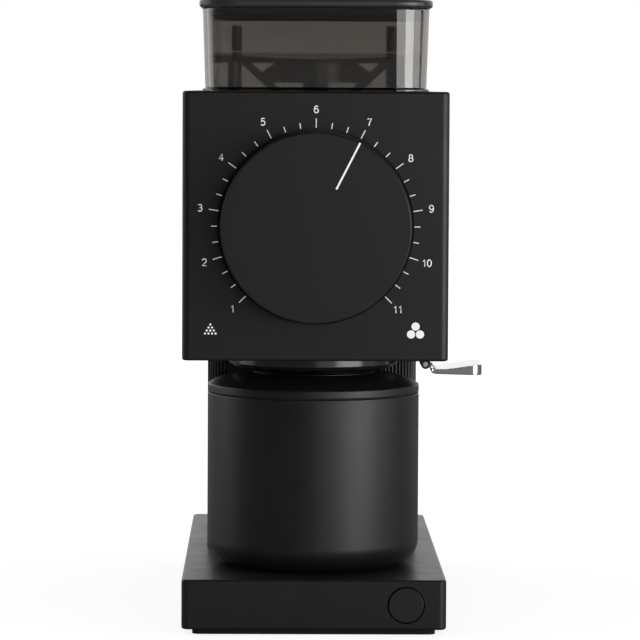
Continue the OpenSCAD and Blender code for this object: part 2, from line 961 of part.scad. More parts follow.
// Cast barrel round the burrs, with its feed boss on top and feet below
module grinding_chamber() {
    chamber_l = motor_y - feed_y;
    foot_x = 24;
    color("#85858a")
        difference() {
            union() {
                on_axis(feed_y)
                    cylinder(h = chamber_l, r = barrel_r);
                translate([0, neck_y, axis_z])
                    slab(feed_boss_w, feed_l, head_ceiling - axis_z, neck_r);
                for (y = [feed_y, motor_y - foot_w])
                    for (sx = [-1, 1])
                        translate([sx * foot_x - foot_w / 2, y, head_floor])
                            cube([foot_w, foot_w, axis_z - head_floor]);
            }
            on_axis(feed_y - 1)
                cylinder(h = chamber_l - chamber_wall + 1, r = bore_r);
            on_axis(feed_y)
                cylinder(h = chamber_l + 1, r = 2 * shaft_r);
            translate([0, neck_y, axis_z])
                neck_block(free_gap, head_ceiling - axis_z + 1);
            translate([-exit_w / 2, exit_y0, axis_z - barrel_r - 1])
                cube([exit_w, exit_l, barrel_r]);
        }
}

// Duct from the chamber down through the floor of the head
module grounds_chute() {
    color("#4c4c50")
        difference() {
            translate([-exit_w / 2 - chute_wall, exit_y0 - chute_wall, head_bottom])
                cube([exit_w + 2 * chute_wall, exit_l + 2 * chute_wall, axis_z - barrel_r + 6 - head_bottom]);
            translate([-exit_w / 2, exit_y0, head_bottom - 1])
                cube([exit_w, exit_l, axis_z - head_bottom]);
            on_axis(feed_y)
                cylinder(h = motor_y - feed_y, r = barrel_r + joint_gap);
        }
}

// Spout under the head: a rim, a shallow cone and a round outlet
module spout_bell() {
    cap_t = 1.6;
    rim_r = spout_r - 1.7;
    color("#28282a")
        translate([0, cup_y, 0])
            difference() {
                rotate_extrude()
                    polygon([
                        [0, head_bottom], [spout_r, head_bottom],
                        [spout_r, head_bottom - spout_rim_h],
                        [rim_r, head_bottom - spout_rim_h - 1.4],
                        [outlet_r + 1.8, spout_z], [outlet_r, spout_z],
                        [outlet_r, head_bottom - cap_t], [0, head_bottom - cap_t]
                    ]);
                translate([-exit_w / 2, exit_y0 - cup_y, head_bottom - cap_t - 1])
                    cube([exit_w, exit_l, cap_t + 2]);
            }
}

// ---- Rotor ----

// Screw that carries the beans through the outer burr
module auger() {
    auger_y = feed_y + 3;
    auger_l = burr_face_y - 1 - auger_y;
    flight_w = 5;
    color("#8f8f92")
        on_axis(auger_y)
            difference() {
                union() {
                    cylinder(h = auger_l, r = auger_hub_r);
                    linear_extrude(auger_l, twist = 300, slices = 24, $fn = 16)
                        translate([0, -flight_w / 2])
                            square([auger_r, flight_w]);
                }
                translate([0, 0, -1])
                    cylinder(h = auger_l + 2, r = shaft_r + 0.2);
            }
}

// Burr that turns
module inner_burr() {
    color("#c4c4c6")
        on_axis(rotor_carrier_y)
            rotate([180, 0, 0])
                burr(rotor_hub_r + joint_gap);
}

// Screws of the inner burr
module inner_burr_screws() {
    on_axis(rotor_carrier_y)
        rotate([180, 0, 0])
            burr_screws();
}

// Disc with a hub that carries the inner burr, and three blades that sweep the chamber
module rotor_carrier() {
    color("#8a8a8d")
        on_axis(rotor_carrier_y)
            difference() {
                union() {
                    cylinder(h = rotor_carrier_t, r = burr_r);
                    translate([0, 0, -burr_t])
                        cylinder(h = burr_t + 1, r = rotor_hub_r);
                    around(3, burr_r - 2)
                        translate([0, -2, 0])
                            cube([bore_r - burr_r + 2 - free_gap, 4, rotor_carrier_t]);
                }
                translate([0, 0, -burr_t - 1])
                    cylinder(h = burr_t + rotor_carrier_t + 2, r = shaft_r + joint_gap);
                rotate([180, 0, 0])
                    around(3, burr_screw_pitch_r, between_pins)
                        translate([0, 0, -rotor_carrier_t - 1])
                            cylinder(h = rotor_carrier_t + 2, r = burr_screw_r + joint_gap);
            }
}

// Seal in the chamber's back wall
module shaft_seal() {
    color("#262626")
        on_axis(chamber_back_y)
            ring(2 * shaft_r - joint_gap, shaft_r + run_gap, chamber_wall);
}

// Shaft through the motor, the burr carrier and the auger
module motor_shaft() {
    shaft_y = feed_y + 2;
    color("#b4b4b7")
        on_axis(shaft_y)
            cylinder(h = shaft_end_y - shaft_y, r = shaft_r);
}

// ---- Motor ----

// Cup-shaped end of the motor with a seat for a bearing next to its end wall
module bell(l) {
    difference() {
        union() {
            difference() {
                cylinder(h = l, r = motor_r);
                translate([0, 0, bell_wall])
                    cylinder(h = l, r = motor_r - bell_wall);
            }
            cylinder(h = bearing_w + 1.5, r = bearing_seat_r);
        }
        translate([0, 0, -1])
            cylinder(h = bearing_w + 1, r = bearing_r + joint_gap);
        translate([0, 0, -1])
            cylinder(h = l, r = shaft_r + 3);
        // Air holes
        for (i = [0 : 7])
            rotate([0, 0, 22.5 + 45 * i])
                translate([(motor_r + bearing_seat_r) / 2 - 1, 0, -1])
                    cylinder(h = bell_wall + 2, r = 4);
    }
}

// Ball bearing: outer ring, inner ring and balls
module bearing() {
    ring_t = 2;
    ball_pitch_r = (bearing_r + shaft_r) / 2;
    ball_r = (bearing_r - shaft_r) / 2 - ring_t - 0.1 + 0.6;
    difference() {
        ring(bearing_r, bearing_r - ring_t, bearing_w);
        translate([0, 0, bearing_w / 2])
            rotate_extrude()
                translate([ball_pitch_r, 0])
                    circle(ball_r + run_gap);
    }
    difference() {
        ring(shaft_r + run_gap + ring_t, shaft_r + run_gap, bearing_w);
        translate([0, 0, bearing_w / 2])
            rotate_extrude()
                translate([ball_pitch_r, 0])
                    circle(ball_r + run_gap);
    }
    around(8, ball_pitch_r)
        translate([0, 0, bearing_w / 2])
            sphere(ball_r);
}

// Front end of the motor, against the chamber
module motor_front_bell() {
    color("#6c6c70")
        on_axis(motor_y)
            bell(bell_l);
}

// Front ball bearing
module front_bearing() {
    color("#bdbdc0")
        on_axis(motor_y)
            bearing();
}

// Stack of steel sheets, with holes for the windings' slots
module motor_stator() {
    color("#5c5c61")
        on_axis(stator_y)
            difference() {
                ring(motor_r, rotor_r + 0.6, stator_l);
                for (a = [0 : 90 : 270])
                    rotate([0, 0, a])
                        translate([0, 0, -1])
                            difference() {
                                translate([rotor_r - 2, -9, 0])
                                    cube([11, 18, stator_l + 2]);
                                cylinder(h = stator_l + 2, r = rotor_r + 0.6);
                            }
            }
}

// Copper ends of the windings, in front of and behind the stator
module stator_windings() {
    end_l = 6;
    end_gap = 2;
    color("#a4582c")
        for (y = [stator_y - end_l, rear_bell_y])
            on_axis(y)
                ring(motor_r - bell_wall - end_gap, rotor_r + end_gap, end_l);
}

// Slotted rotor
module motor_rotor() {
    color("#67676c")
        on_axis(stator_y + 1)
            difference() {
                ring(rotor_r, shaft_r + joint_gap, stator_l - 2);
                around(12, rotor_r)
                    translate([-4, -1.2, -1])
                        cube([6, 2.4, stator_l]);
            }
}

// Commutator with its segments
module commutator() {
    segments = 12;
    commutator_l = 12;
    slit_w = 0.6;
    color("#b87333")
        on_axis(rear_bell_y + 1)
            difference() {
                ring(commutator_r, shaft_r + joint_gap, commutator_l);
                around(segments, commutator_r)
                    translate([-1, -slit_w / 2, -1])
                        cube([3, slit_w, commutator_l + 2]);
            }
}

// Carbon brushes in their holders, on both sides of the commutator
module brush_holders() {
    brush_y = rear_bell_y + 7;
    brush_w = 7;
    brush_t = 5;
    color("#39393c")
        for (sx = [-1, 1])
            translate([sx * (commutator_r + free_gap), brush_y, axis_z])
                rotate([0, sx * 90, 0])
                    translate([-brush_w / 2, 0, 0])
                        cube([
                            brush_w, brush_t,
                            motor_r - bell_wall - commutator_r - free_gap - fit_gap
                        ]);
}

// Back end of the motor
module motor_rear_bell() {
    color("#6c6c70")
        on_axis(rear_bell_y + rear_bell_l)
            rotate([180, 0, 0])
                bell(rear_bell_l);
}

// Back ball bearing
module rear_bearing() {
    color("#bdbdc0")
        on_axis(rear_bearing_y)
            bearing();
}

// Fan behind the motor
module cooling_fan() {
    blade_count = 9;
    fan_r = motor_r - 6;
    color("#303034")
        on_axis(fan_y)
            difference() {
                union() {
                    cylinder(h = fan_l, r = 9);
                    cylinder(h = 1.5, r = fan_r);
                    around(blade_count, 8)
                        translate([0, -0.8, 0.5])
                            rotate([0, 0, 14])
                                cube([fan_r - 10, 1.6, fan_l - 0.5]);
                }
                translate([0, 0, -1])
                    cylinder(h = fan_l + 2, r = shaft_r + joint_gap);
            }
}

// Cradle between the motor and the floor of the head
module motor_cradle() {
    cradle_inset = 5;
    cradle_w = motor_r * 1.45;
    motor_low = axis_z - motor_r - head_floor;
    cradle_h = motor_low + 10;
    hollow_w = motor_r + 2;
    hollow_h = motor_low - 3;
    color("#232325")
        difference() {
            translate([-cradle_w / 2, stator_y + cradle_inset, head_floor])
                cube([cradle_w, stator_l - 2 * cradle_inset, cradle_h]);
            on_axis(stator_y)
                cylinder(h = stator_l, r = motor_r + joint_gap);
            // Hollow under the motor
            translate([-hollow_w / 2, stator_y, head_floor - 1])
                cube([hollow_w, stator_l, hollow_h + 1]);
        }
}

// ---- Lever that knocks the chute ----

// Blade with a thumb rest, a root on the pin and an arm that reaches the chute
module knocker_lever() {
    blade_x = 2.6;
    tip_r = 4.5;
    arm_z = head_floor + free_gap - lever_z;
    color("#c9c9cc")
        translate([lever_x, cup_y, lever_z])
            difference() {
                union() {
                    // Blade, thicker and rising towards its tip
                    intersection() {
                        translate([0, lever_w / 2, 0])
                            rotate([90, 0, 0])
                                linear_extrude(lever_w)
                                    polygon([
                                        [blade_x, -3], [blade_x + 0.9, -lever_under + 0.6],
                                        [lever_l, -lever_under], [lever_l, lever_tip_h - lever_under],
                                        [lever_l * 0.75, lever_tip_h - lever_under - 0.5],
                                        [lever_l * 0.5, lever_tip_h - lever_under - 1.5],
                                        [lever_l * 0.3, lever_tip_h - lever_under - 1.9],
                                        [blade_x, lever_tip_h - lever_under - 1.6]
                                    ]);
                        translate([blade_x, 0, -lever_under - 1])
                            linear_extrude(lever_tip_h + 3)
                                translate([(lever_l - blade_x) / 2, 0])
                                    union() {
                                        round_rect(lever_l - blade_x, lever_w, tip_r);
                                        translate([-tip_r, 0])
                                            square([lever_l - blade_x - tip_r, lever_w], center = true);
                                    }
                    }
                    // Root between the ears
                    translate([0, lever_root_w / 2, 0])
                        rotate([90, 0, 0])
                            cylinder(h = lever_root_w, r = lever_root_r);
                    translate([0, -lever_root_w / 2, -lever_root_r])
                        cube([blade_x + 1, lever_root_w, 2 * lever_root_r - 1]);
                    // Arm up into the head and across to the chute
                    translate([-lever_root_r, -lever_root_w / 2 + 1, 0])
                        cube([2.6, lever_root_w - 2, arm_z + knock_arm_t]);
                    translate([-knock_reach, -lever_root_w / 2 + 1, arm_z])
                        cube([knock_reach, lever_root_w - 2, knock_arm_t]);
                }
                translate([0, lever_w, 0])
                    rotate([90, 0, 0])
                        cylinder(h = 2 * lever_w, r = lever_pin_r + run_gap);
            }
}

// Pin of the lever
module lever_pin() {
    pin_l = ear_gap + 2 * ear_t;
    color("#b4b4b7")
        translate([lever_x, cup_y + pin_l / 2, lever_z])
            rotate([90, 0, 0])
                cylinder(h = pin_l, r = lever_pin_r);
}

// Two ears under the head that hold the pin
module lever_bracket() {
    ear_h = head_bottom - lever_z;
    color("#1b1b1c")
        translate([lever_x, cup_y, lever_z])
            for (sy = [-1, 1])
                translate([0, sy * (ear_gap + ear_t) / 2, 0])
                    difference() {
                        translate([0, ear_t / 2, 0])
                            rotate([90, 0, 0])
                                union() {
                                    cylinder(h = ear_t, r = lever_root_r);
                                    translate([-lever_root_r, 0, 0])
                                        cube([2 * lever_root_r, ear_h, ear_t]);
                                }
                        translate([0, ear_t, 0])
                            rotate([90, 0, 0])
                                cylinder(h = 2 * ear_t, r = lever_pin_r + joint_gap);
                    }
}

// Spring round the pin that brings the lever back
module lever_spring() {
    wire = 0.25;
    turns = 3;
    space = (ear_gap - lever_root_w) / 2;
    color("#b9b9bd")
        translate([lever_x, cup_y - ear_gap / 2 + space - 0.1, lever_z])
            rotate([90, 0, 0])
                coil_spring(lever_pin_r + 0.45, (space - 0.2 - 2 * wire) / turns, wire, turns);
}

// ---- Hopper ----

// Oblong block of the hopper's neck, larger by gap on each side
module neck_block(gap, h) {
    slab(neck_w + 2 * gap, neck_l + 2 * gap, h, neck_r + gap);
}

// How far the hopper's wall has moved out at height z
function flare_at(z) = hopper_flare / 2 * (z - head_top) / hopper_h;

// Outline of the hopper at height z, stood in by inset
module hopper_outline(z, inset) {
    round_rect(
        hopper_w + 2 * flare_at(z) - 2 * inset,
        hopper_l + 2 * flare_at(z) - 2 * inset, hopper_r + flare_at(z) - inset
    );
}

// Block with round corners that widens by f on each side over its height h
module flared_block(w, l, h, r, f) {
    translate([0, l / 2 - r, 0])
        rotate([90, 0, 0])
            linear_extrude(l - 2 * r)
                polygon([[-w / 2, 0], [w / 2, 0], [w / 2 + f, h], [-w / 2 - f, h]]);
    translate([-w / 2 + r, 0, 0])
        rotate([90, 0, 90])
            linear_extrude(w - 2 * r)
                polygon([[-l / 2, 0], [l / 2, 0], [l / 2 + f, h], [-l / 2 - f, h]]);
    for (sx = [-1, 1])
        for (sy = [-1, 1])
            translate([sx * (w / 2 - r), sy * (l / 2 - r), 0])
                cylinder(h = h, r1 = r, r2 = r + f);
}

// Clear bin with a thin flange at its foot
module hopper_bin() {
    inner_w = hopper_w - 2 * hopper_wall;
    inner_l = hopper_l - 2 * hopper_wall;
    inner_r = hopper_r - hopper_wall;
    slope = hopper_flare / 2 / hopper_h;
    color([0.35, 0.33, 0.31, 0.45])
        translate([0, hopper_mid_y, head_top])
            difference() {
                union() {
                    flared_block(hopper_w, hopper_l, hopper_h, hopper_r, slope * hopper_h);
                    slab(hopper_w + 2 * flange_w, hopper_l + 2 * flange_w, flange_t, hopper_r + flange_w);
                }
                translate([0, 0, -1])
                    flared_block(
                        inner_w - 2 * slope, inner_l - 2 * slope, hopper_h + 2,
                        inner_r - slope, slope * (hopper_h + 2)
                    );
            }
}

// Dished floor of the hopper with its neck, struts and screw posts
module hopper_funnel() {
    side = hopper_wall + dish_gap;
    post_y0 = hopper_y0 + hopper_wall + post_r + 2.5;
    post_y1 = hopper_y0 + hopper_l - hopper_wall - post_r - 2.5;
    strut_foot_x = collar_w - strut_foot_in;
    neck_foot = head_ceiling - neck_plunge;
    color([0.2, 0.19, 0.18, 0.8])
        difference() {
            union() {
                translate([0, hopper_mid_y, dish_z])
                    linear_extrude(dish_t)
                        hopper_outline(dish_z, side);
                translate([0, neck_y, collar_low_z])
                    cylinder(h = dish_z - collar_low_z + 1, r = well_r);
                // Wide collar that shields the neck
                translate([0, neck_y + strut_l / 2, 0])
                    rotate([90, 0, 0])
                        linear_extrude(strut_l)
                            polygon([
                                [collar_chamfer - collar_w, collar_low_z], [collar_w - collar_chamfer, collar_low_z],
                                [collar_w, collar_mid_z], [well_r, dish_z + 0.5],
                                [-well_r, dish_z + 0.5], [-collar_w, collar_mid_z]
                            ]);
                translate([0, neck_y, neck_foot])
                    neck_block(0, dish_z - neck_foot);
                // Sloping struts from the dish down to the head
                for (sx = [-1, 1])
                    translate([0, neck_y + strut_l / 2, 0])
                        rotate([90, 0, 0])
                            linear_extrude(strut_l)
                                polygon([
                                    [sx * (post_x - 1), dish_z + 1],
                                    [sx * (post_x - 1 - 2 * strut_t), dish_z + 1],
                                    [sx * strut_foot_x, head_top + 0.2],
                                    [sx * (strut_foot_x + 2 * strut_t), head_top + 0.2]
                                ]);
                for (sx = [-1, 1]) {
                    translate([sx * post_x, post_y0, head_top])
                        cylinder(h = dish_z - head_top + 1, r = post_r);
                    translate([sx * post_x, post_y1, head_top])
                        cylinder(h = tall_post_h, r = post_r);
                }
            }
            // Dish and well
            translate([0, neck_y, dish_z + 0.8])
                cylinder(h = dish_t, r1 = well_r - 2, r2 = dish_slope_r);
            translate([0, neck_y, collar_low_z + 1.5])
                cylinder(h = dish_z - collar_low_z, r1 = neck_l / 2 - neck_wall, r2 = well_r - 2);
            translate([0, neck_y, neck_foot - 1])
                neck_block(-neck_wall, dish_z - neck_foot);
            for (sx = [-1, 1])
                translate([sx * post_x, post_y1, head_top + tall_post_h - post_cup_h])
                    cylinder(h = post_cup_h + 1, r = post_r - 0.9);
        }
}

// Lid of the hopper with a skirt that goes into the bin
module hopper_lid() {
    lid_z = hopper_top + free_gap;
    lip = hopper_lid_lip;
    lid_edge = 1.2;
    skirt_in = hopper_wall + free_gap;
    color("#3a3a3c")
        translate([0, hopper_mid_y, 0])
            difference() {
                union() {
                    translate([0, 0, lid_z])
                        soft_block(
                            hopper_w + hopper_flare + 2 * lip, hopper_l + hopper_flare + 2 * lip,
                            hopper_lid_t, hopper_r + flare_at(hopper_top) + lip, lid_edge
                        );
                    translate([0, 0, lid_z - skirt_h])
                        linear_extrude(skirt_h + 1)
                            hopper_outline(lid_z - skirt_h, skirt_in);
                }
                translate([0, 0, lid_z - skirt_h - 1])
                    linear_extrude(skirt_h + 2)
                        hopper_outline(lid_z - skirt_h, skirt_in + skirt_t);
            }
}

// Soft seal round the foot of the skirt
module hopper_lid_seal() {
    lid_z = hopper_top + free_gap;
    skirt_in = hopper_wall + free_gap;
    color("#171717")
        translate([0, hopper_mid_y, lid_z - skirt_h - seal_t])
            linear_extrude(seal_t)
                difference() {
                    hopper_outline(lid_z - skirt_h - seal_t, skirt_in + 0.2);
                    hopper_outline(lid_z - skirt_h - seal_t, skirt_in + skirt_t);
                }
}

// ---- Cup ----

// Round cup with a large radius at its foot
module cup_body() {
    h = cup_top - cup_z;
    color("#2a2a2b")
        translate([0, cup_y, cup_z])
            rotate_extrude()
                difference() {
                    cup_profile(cup_r, h, cup_foot_r);
                    translate([0, cup_wall])
                        cup_profile(cup_r - cup_wall, h, cup_foot_r - cup_wall);
                }
}

// Half outline of a cup of radius r and height h, with its foot rounded by f
module cup_profile(r, h, f) {
    square([r - f, h]);
    translate([0, f])
        square([r, h - f]);
    translate([r - f, f])
        intersection() {
            circle(f);
            translate([0, -f])
                square(2 * f);
        }
}

// Soft ring between the cup and its lid
module cup_gasket() {
    color("#0f0f0f")
        translate([0, cup_y, cup_top])
            ring(cup_r - 0.4, cup_r - cup_wall + 0.1, gasket_t);
}

// Domed lid with a low collar round its opening and a skirt inside the cup
module cup_lid() {
    lid_wall = 1.8;
    skirt_l = 6;
    band_h = cup_dome_z - dome_arc_r + sqrt(dome_arc_r ^ 2 - (cup_r - collar_r) ^ 2) - cup_lid_z;
    color("#262627")
        translate([0, cup_y, 0])
            rotate_extrude()
                difference() {
                    union() {
                        difference() {
                            translate([0, cup_lid_z])
                                square([cup_r, cup_dome_z - cup_lid_z]);
                            // Everything above the dome's arc
                            translate([collar_r, cup_lid_z + band_h])
                                difference() {
                                    square([cup_r, cup_lid_h]);
                                    translate([0, cup_dome_z - cup_lid_z - band_h - dome_arc_r])
                                        circle(dome_arc_r);
                                }
                        }
                        translate([outlet_r - 0.5, cup_lid_z])
                            square([collar_r - outlet_r + 0.5, cup_lid_top - cup_lid_z]);
                        translate([cup_r - cup_wall - fit_gap - lid_wall, cup_lid_z - skirt_l])
                            square([lid_wall, skirt_l + 1]);
                    }
                    translate([0, cup_lid_z - skirt_l - 1])
                        square([outlet_r - 0.5, cup_lid_h + skirt_l + 2]);
                    // Inside of the dome
                    intersection() {
                        translate([outlet_r, cup_lid_z - skirt_l - 1])
                            square([
                                cup_r - cup_wall - fit_gap - lid_wall - outlet_r,
                                cup_lid_h + skirt_l
                            ]);
                        translate([collar_r, cup_dome_z - dome_arc_r])
                            circle(dome_arc_r - lid_wall);
                    }
                }
}

foot_pad();
base_cover();
base_housing();
base_screws();
control_board();
board_parts();
start_button();
button_spring();
button_switch();
lead_gland();
column();
tie_rods();
wiring_loom();
head_shell();
rear_cover();
rear_screws();
scale_marks();
dial_bushing();
dial_knob();
dial_pointer();
dial_spindle();
adjuster_plate();
guide_pins();
burr_carrier();
outer_burr();
outer_burr_screws();
chamber_front();
grinding_chamber();
grounds_chute();
spout_bell();
auger();
inner_burr();
inner_burr_screws();
rotor_carrier();
shaft_seal();
motor_shaft();
motor_front_bell();
front_bearing();
motor_stator();
stator_windings();
motor_rotor();
commutator();
brush_holders();
motor_rear_bell();
rear_bearing();
cooling_fan();
motor_cradle();
knocker_lever();
lever_pin();
lever_bracket();
lever_spring();
hopper_bin();
hopper_funnel();
hopper_lid();
hopper_lid_seal();
cup_body();
cup_gasket();
cup_lid();
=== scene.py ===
"""Looks of a flat-burr coffee grinder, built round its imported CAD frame.

Sizes are in millimetres. Meshes, the camera, the lamps and the surroundings are in metres.
X is to the right, Y to the back, Z up, and the grinder stands on z = 0.
"""

import json
import math
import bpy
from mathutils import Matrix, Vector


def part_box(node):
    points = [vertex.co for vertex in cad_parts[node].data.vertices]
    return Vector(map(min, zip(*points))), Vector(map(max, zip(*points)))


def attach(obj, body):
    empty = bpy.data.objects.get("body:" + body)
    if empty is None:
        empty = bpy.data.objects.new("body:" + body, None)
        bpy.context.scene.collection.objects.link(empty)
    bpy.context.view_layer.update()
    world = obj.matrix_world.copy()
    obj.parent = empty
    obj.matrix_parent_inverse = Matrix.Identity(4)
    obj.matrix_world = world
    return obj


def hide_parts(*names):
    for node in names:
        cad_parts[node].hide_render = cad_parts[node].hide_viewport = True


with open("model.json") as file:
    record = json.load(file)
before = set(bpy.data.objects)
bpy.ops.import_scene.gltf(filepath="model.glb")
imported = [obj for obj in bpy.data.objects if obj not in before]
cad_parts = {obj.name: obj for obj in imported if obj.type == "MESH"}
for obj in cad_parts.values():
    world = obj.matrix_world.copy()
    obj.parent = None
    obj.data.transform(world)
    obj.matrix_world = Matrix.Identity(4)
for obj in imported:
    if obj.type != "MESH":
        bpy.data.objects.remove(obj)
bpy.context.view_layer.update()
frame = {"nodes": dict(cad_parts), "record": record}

from types import SimpleNamespace

import bmesh
import bpy
import numpy as np
from bpy.props import FloatProperty, FloatVectorProperty, IntProperty, PointerProperty
from mathutils import Euler, Matrix, Vector

bl_info = {
    "name": "Burr Coffee Grinder",
    "version": (1, 0, 0),
    "blender": (4, 5, 0),
    "location": "View3D > Sidebar > Grinder",
    "description": "Builds the looks of a flat-burr coffee grinder round its CAD frame",
    "category": "Object",
}

MM = 0.001


def cad_box(node_name):
    """Lowest and highest corner of a CAD node at rest, in millimetres."""
    lo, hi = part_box(node_name)
    return np.array(lo) / MM, np.array(hi) / MM


HEAD_LO, HEAD_HI = cad_box("head_shell")
BASE_LO, BASE_HI = cad_box("base_housing")
COLUMN_LO, COLUMN_HI = cad_box("column")
DIAL_LO, DIAL_HI = cad_box("dial_knob")
CUP_LO, CUP_HI = cad_box("cup_body")
BIN_LO, BIN_HI = cad_box("hopper_bin")
LID_LO, LID_HI = cad_box("hopper_lid")
CHUTE_LO, CHUTE_HI = cad_box("grounds_chute")
DIAL_Z = (HEAD_LO[2] + HEAD_HI[2]) / 2
CUP_Y = (CUP_LO[1] + CUP_HI[1]) / 2
HOPPER_Y = (BIN_LO[1] + BIN_HI[1]) / 2

# Openings in the head that no box gives, as their lowest and highest corner (x, y)
NECK_HOLE = ((-5.2, -93.05), (5.2, -73.45))
LEVER_SLOT = ((41.0, -62.0), (49.0, -52.0))

# How a grid becomes a surface: its columns joined round, its rows joined round, and a flat face
# on its first and last row. A grid of poles begins and ends in a point, or where it began.
GRID_KINDS = {
    "capped": (True, False, True),
    "poles": (True, False, False),
    "ring": (True, True, False),
    "sheet": (False, False, False),
}
# How far a cutter reaches past the face that it opens, and the distance in metres at which
# two corners of a mesh become one
CUTTER_PAST = 1.0
MERGE_M = 2e-7


# ---- Colours and node trees ----


def linear(hex_colour):
    """sRGB hex colour as linear red, green and blue."""
    srgb = np.array([int(hex_colour[i : i + 2], 16) for i in (1, 3, 5)]) / 255
    low, high = srgb / 12.92, ((srgb + 0.055) / 1.055) ** 2.4
    return tuple(float(c) for c in np.where(srgb <= 0.04045, low, high))


def add_node(tree, kind, inputs=None, **settings):
    """Adds a node with its settings. inputs gives sockets a value, or another node's output."""
    made = tree.nodes.new(kind)
    for key, value in settings.items():
        setattr(made, key, value)
    for key, value in (inputs or {}).items():
        if isinstance(value, bpy.types.NodeSocket):
            tree.links.new(value, made.inputs[key])
        else:
            made.inputs[key].default_value = value
    return made


def per_metre(size):
    """Scale of a noise pattern whose features are size millimetres across."""
    return 1.0 / (size * MM)


# ---- Surfaces ----


def quarter(start, steps=8):
    """Angles of a quarter turn from start, in degrees."""
    return np.radians(np.linspace(start, start + 90, steps + 1))


def round_rect(width, length, radius, steps=10):
    """Outline of a rectangle with round corners: at each corner's centre, a quarter circle
    of that radius, one after the other, anticlockwise from the right side."""
    turn = quarter(0, steps)
    turns = (turn[None, :] + np.arange(4)[:, None] * math.pi / 2).ravel()
    corner_x = np.repeat(np.array([1, -1, -1, 1]) * (width / 2 - radius), steps + 1)
    corner_y = np.repeat(np.array([1, 1, -1, -1]) * (length / 2 - radius), steps + 1)
    return np.stack([corner_x + radius * np.cos(turns), corner_y + radius * np.sin(turns)], 1)


def inset_rings(width, length, radius, profile, centre=(0, 0), steps=10):
    """Grid of round rectangles. Row i is the outline width by length, stood in by
    profile[i][0] on every side, at height profile[i][1]; the corner radius shrinks with it."""
    rows = []
    for inset, height in profile:
        ring = round_rect(
            width - 2 * inset, length - 2 * inset, max(radius - inset, 0.15), steps
        )
        rows.append(np.column_stack([ring + centre, np.full(len(ring), height)]))
    return np.array(rows)


def fillet(points, radii, steps=6):
    """Polyline whose corner i is rounded with radius radii[i]: the arc touches both sides at
    r * tan(turn / 2) from the corner, and its centre lies on the bisector."""
    points = [np.array(p, float) for p in points]
    out = [points[0]]
    for i in range(1, len(points) - 1):
        corner, radius = points[i], radii[i]
        back, ahead = points[i - 1] - corner, points[i + 1] - corner
        back, ahead = back / np.linalg.norm(back), ahead / np.linalg.norm(ahead)
        half = math.acos(float(np.clip(back @ ahead, -1, 1))) / 2
        if radius <= 0 or half > math.radians(89.5):
            out.append(corner)
            continue
        reach = radius / math.tan(half)
        centre = corner + (back + ahead) / np.linalg.norm(back + ahead) * radius / math.sin(half)
        first, last = corner + back * reach - centre, corner + ahead * reach - centre
        a, b = math.atan2(first[1], first[0]), math.atan2(last[1], last[0])
        sweep = (b - a + math.pi) % (2 * math.pi) - math.pi
        for t in np.linspace(0, 1, steps + 1):
            angle = a + sweep * t
            out.append(centre + radius * np.array([math.cos(angle), math.sin(angle)]))
    out.append(points[-1])
    return np.array(out)


def turned(profile, centre, axis, sides=128):
    """Grid of a turned surface: each profile point (radius, place along the axis) goes round
    the axis through centre. axis is "y" or "z"."""
    turn = np.linspace(0, 2 * math.pi, sides, endpoint=False)
    radius, along = profile[:, :1], profile[:, 1:]
    across, up = radius * np.cos(turn), radius * np.sin(turn)
    level = np.repeat(along, sides, axis=1)
    if axis == "z":
        return np.stack([across + centre[0], up + centre[1], level], 2)
    return np.stack([across + centre[0], level, up + centre[1]], 2)


def rod(radius, place, start, end, sides):
    """Grid of a round rod along y, from start to end, whose axis passes (x, z) = place."""
    return turned(np.array([[radius, start], [radius, end]]), place, "y", sides)


def soft_sides(edge, low, high):
    """Profile (inset, height) of a box's side: a quarter circle of radius edge down from the
    top, and one more in to the foot."""
    turn = quarter(0, 6)
    inset = edge - edge * np.cos(turn)
    upper = np.stack([inset, high - edge + edge * np.sin(turn)], 1)[::-1]
    lower = np.stack([inset, low + edge - edge * np.sin(turn)], 1)
    return [*upper, *lower]


def turned_on_dial(grid, turn):
    """Grid drawn upright over the dial's axis, turned clockwise round it by turn:
    x cos t + z sin t across, and z cos t - x sin t up."""
    x, y, z = np.moveaxis(grid, -1, 0)
    across = x * math.cos(turn) + z * math.sin(turn)
    return np.stack([across, y, DIAL_Z + z * math.cos(turn) - x * math.sin(turn)], -1)


def block(lo, hi):
    """Grid of a plain box from corner lo to corner hi: its foot and its top outline."""
    xy = np.array([[lo[0], lo[1]], [hi[0], lo[1]], [hi[0], hi[1]], [lo[0], hi[1]]])
    return np.array([np.column_stack([xy, np.full(4, z)]) for z in (lo[2], hi[2])])


def grid_faces(shape, kind, start):
    """Faces of a grid of shape (rows, columns), whose first point has the number start:
    quads between neighbours, joined and closed as its kind says."""
    rows, cols = shape
    across, along, capped = GRID_KINDS[kind]
    r, c = np.meshgrid(
        np.arange(rows if along else rows - 1),
        np.arange(cols if across else cols - 1), indexing="ij",
    )
    r, c = r.ravel(), c.ravel()
    r2, c2 = (r + 1) % rows, (c + 1) % cols
    quads = np.stack([r * cols + c, r * cols + c2, r2 * cols + c2, r2 * cols + c], 1)
    faces = (quads + start).tolist()
    if capped:
        ring = np.arange(cols)
        faces += [(start + ring[::-1]).tolist(), (start + (rows - 1) * cols + ring).tolist()]
    return faces


def tidy_mesh(mesh, angle=32):
    """Merges doubles, turns faces outwards, shades smooth and keeps edges over angle sharp."""
    bm = bmesh.new()
    bm.from_mesh(mesh)
    bmesh.ops.remove_doubles(bm, verts=bm.verts, dist=MERGE_M)
    bmesh.ops.dissolve_degenerate(bm, edges=bm.edges, dist=MERGE_M / 2)
    bmesh.ops.recalc_face_normals(bm, faces=bm.faces)
    bm.to_mesh(mesh)
    bm.free()
    mesh.polygons.foreach_set("use_smooth", [True] * len(mesh.polygons))
    mesh.set_sharp_from_angle(angle=math.radians(angle))


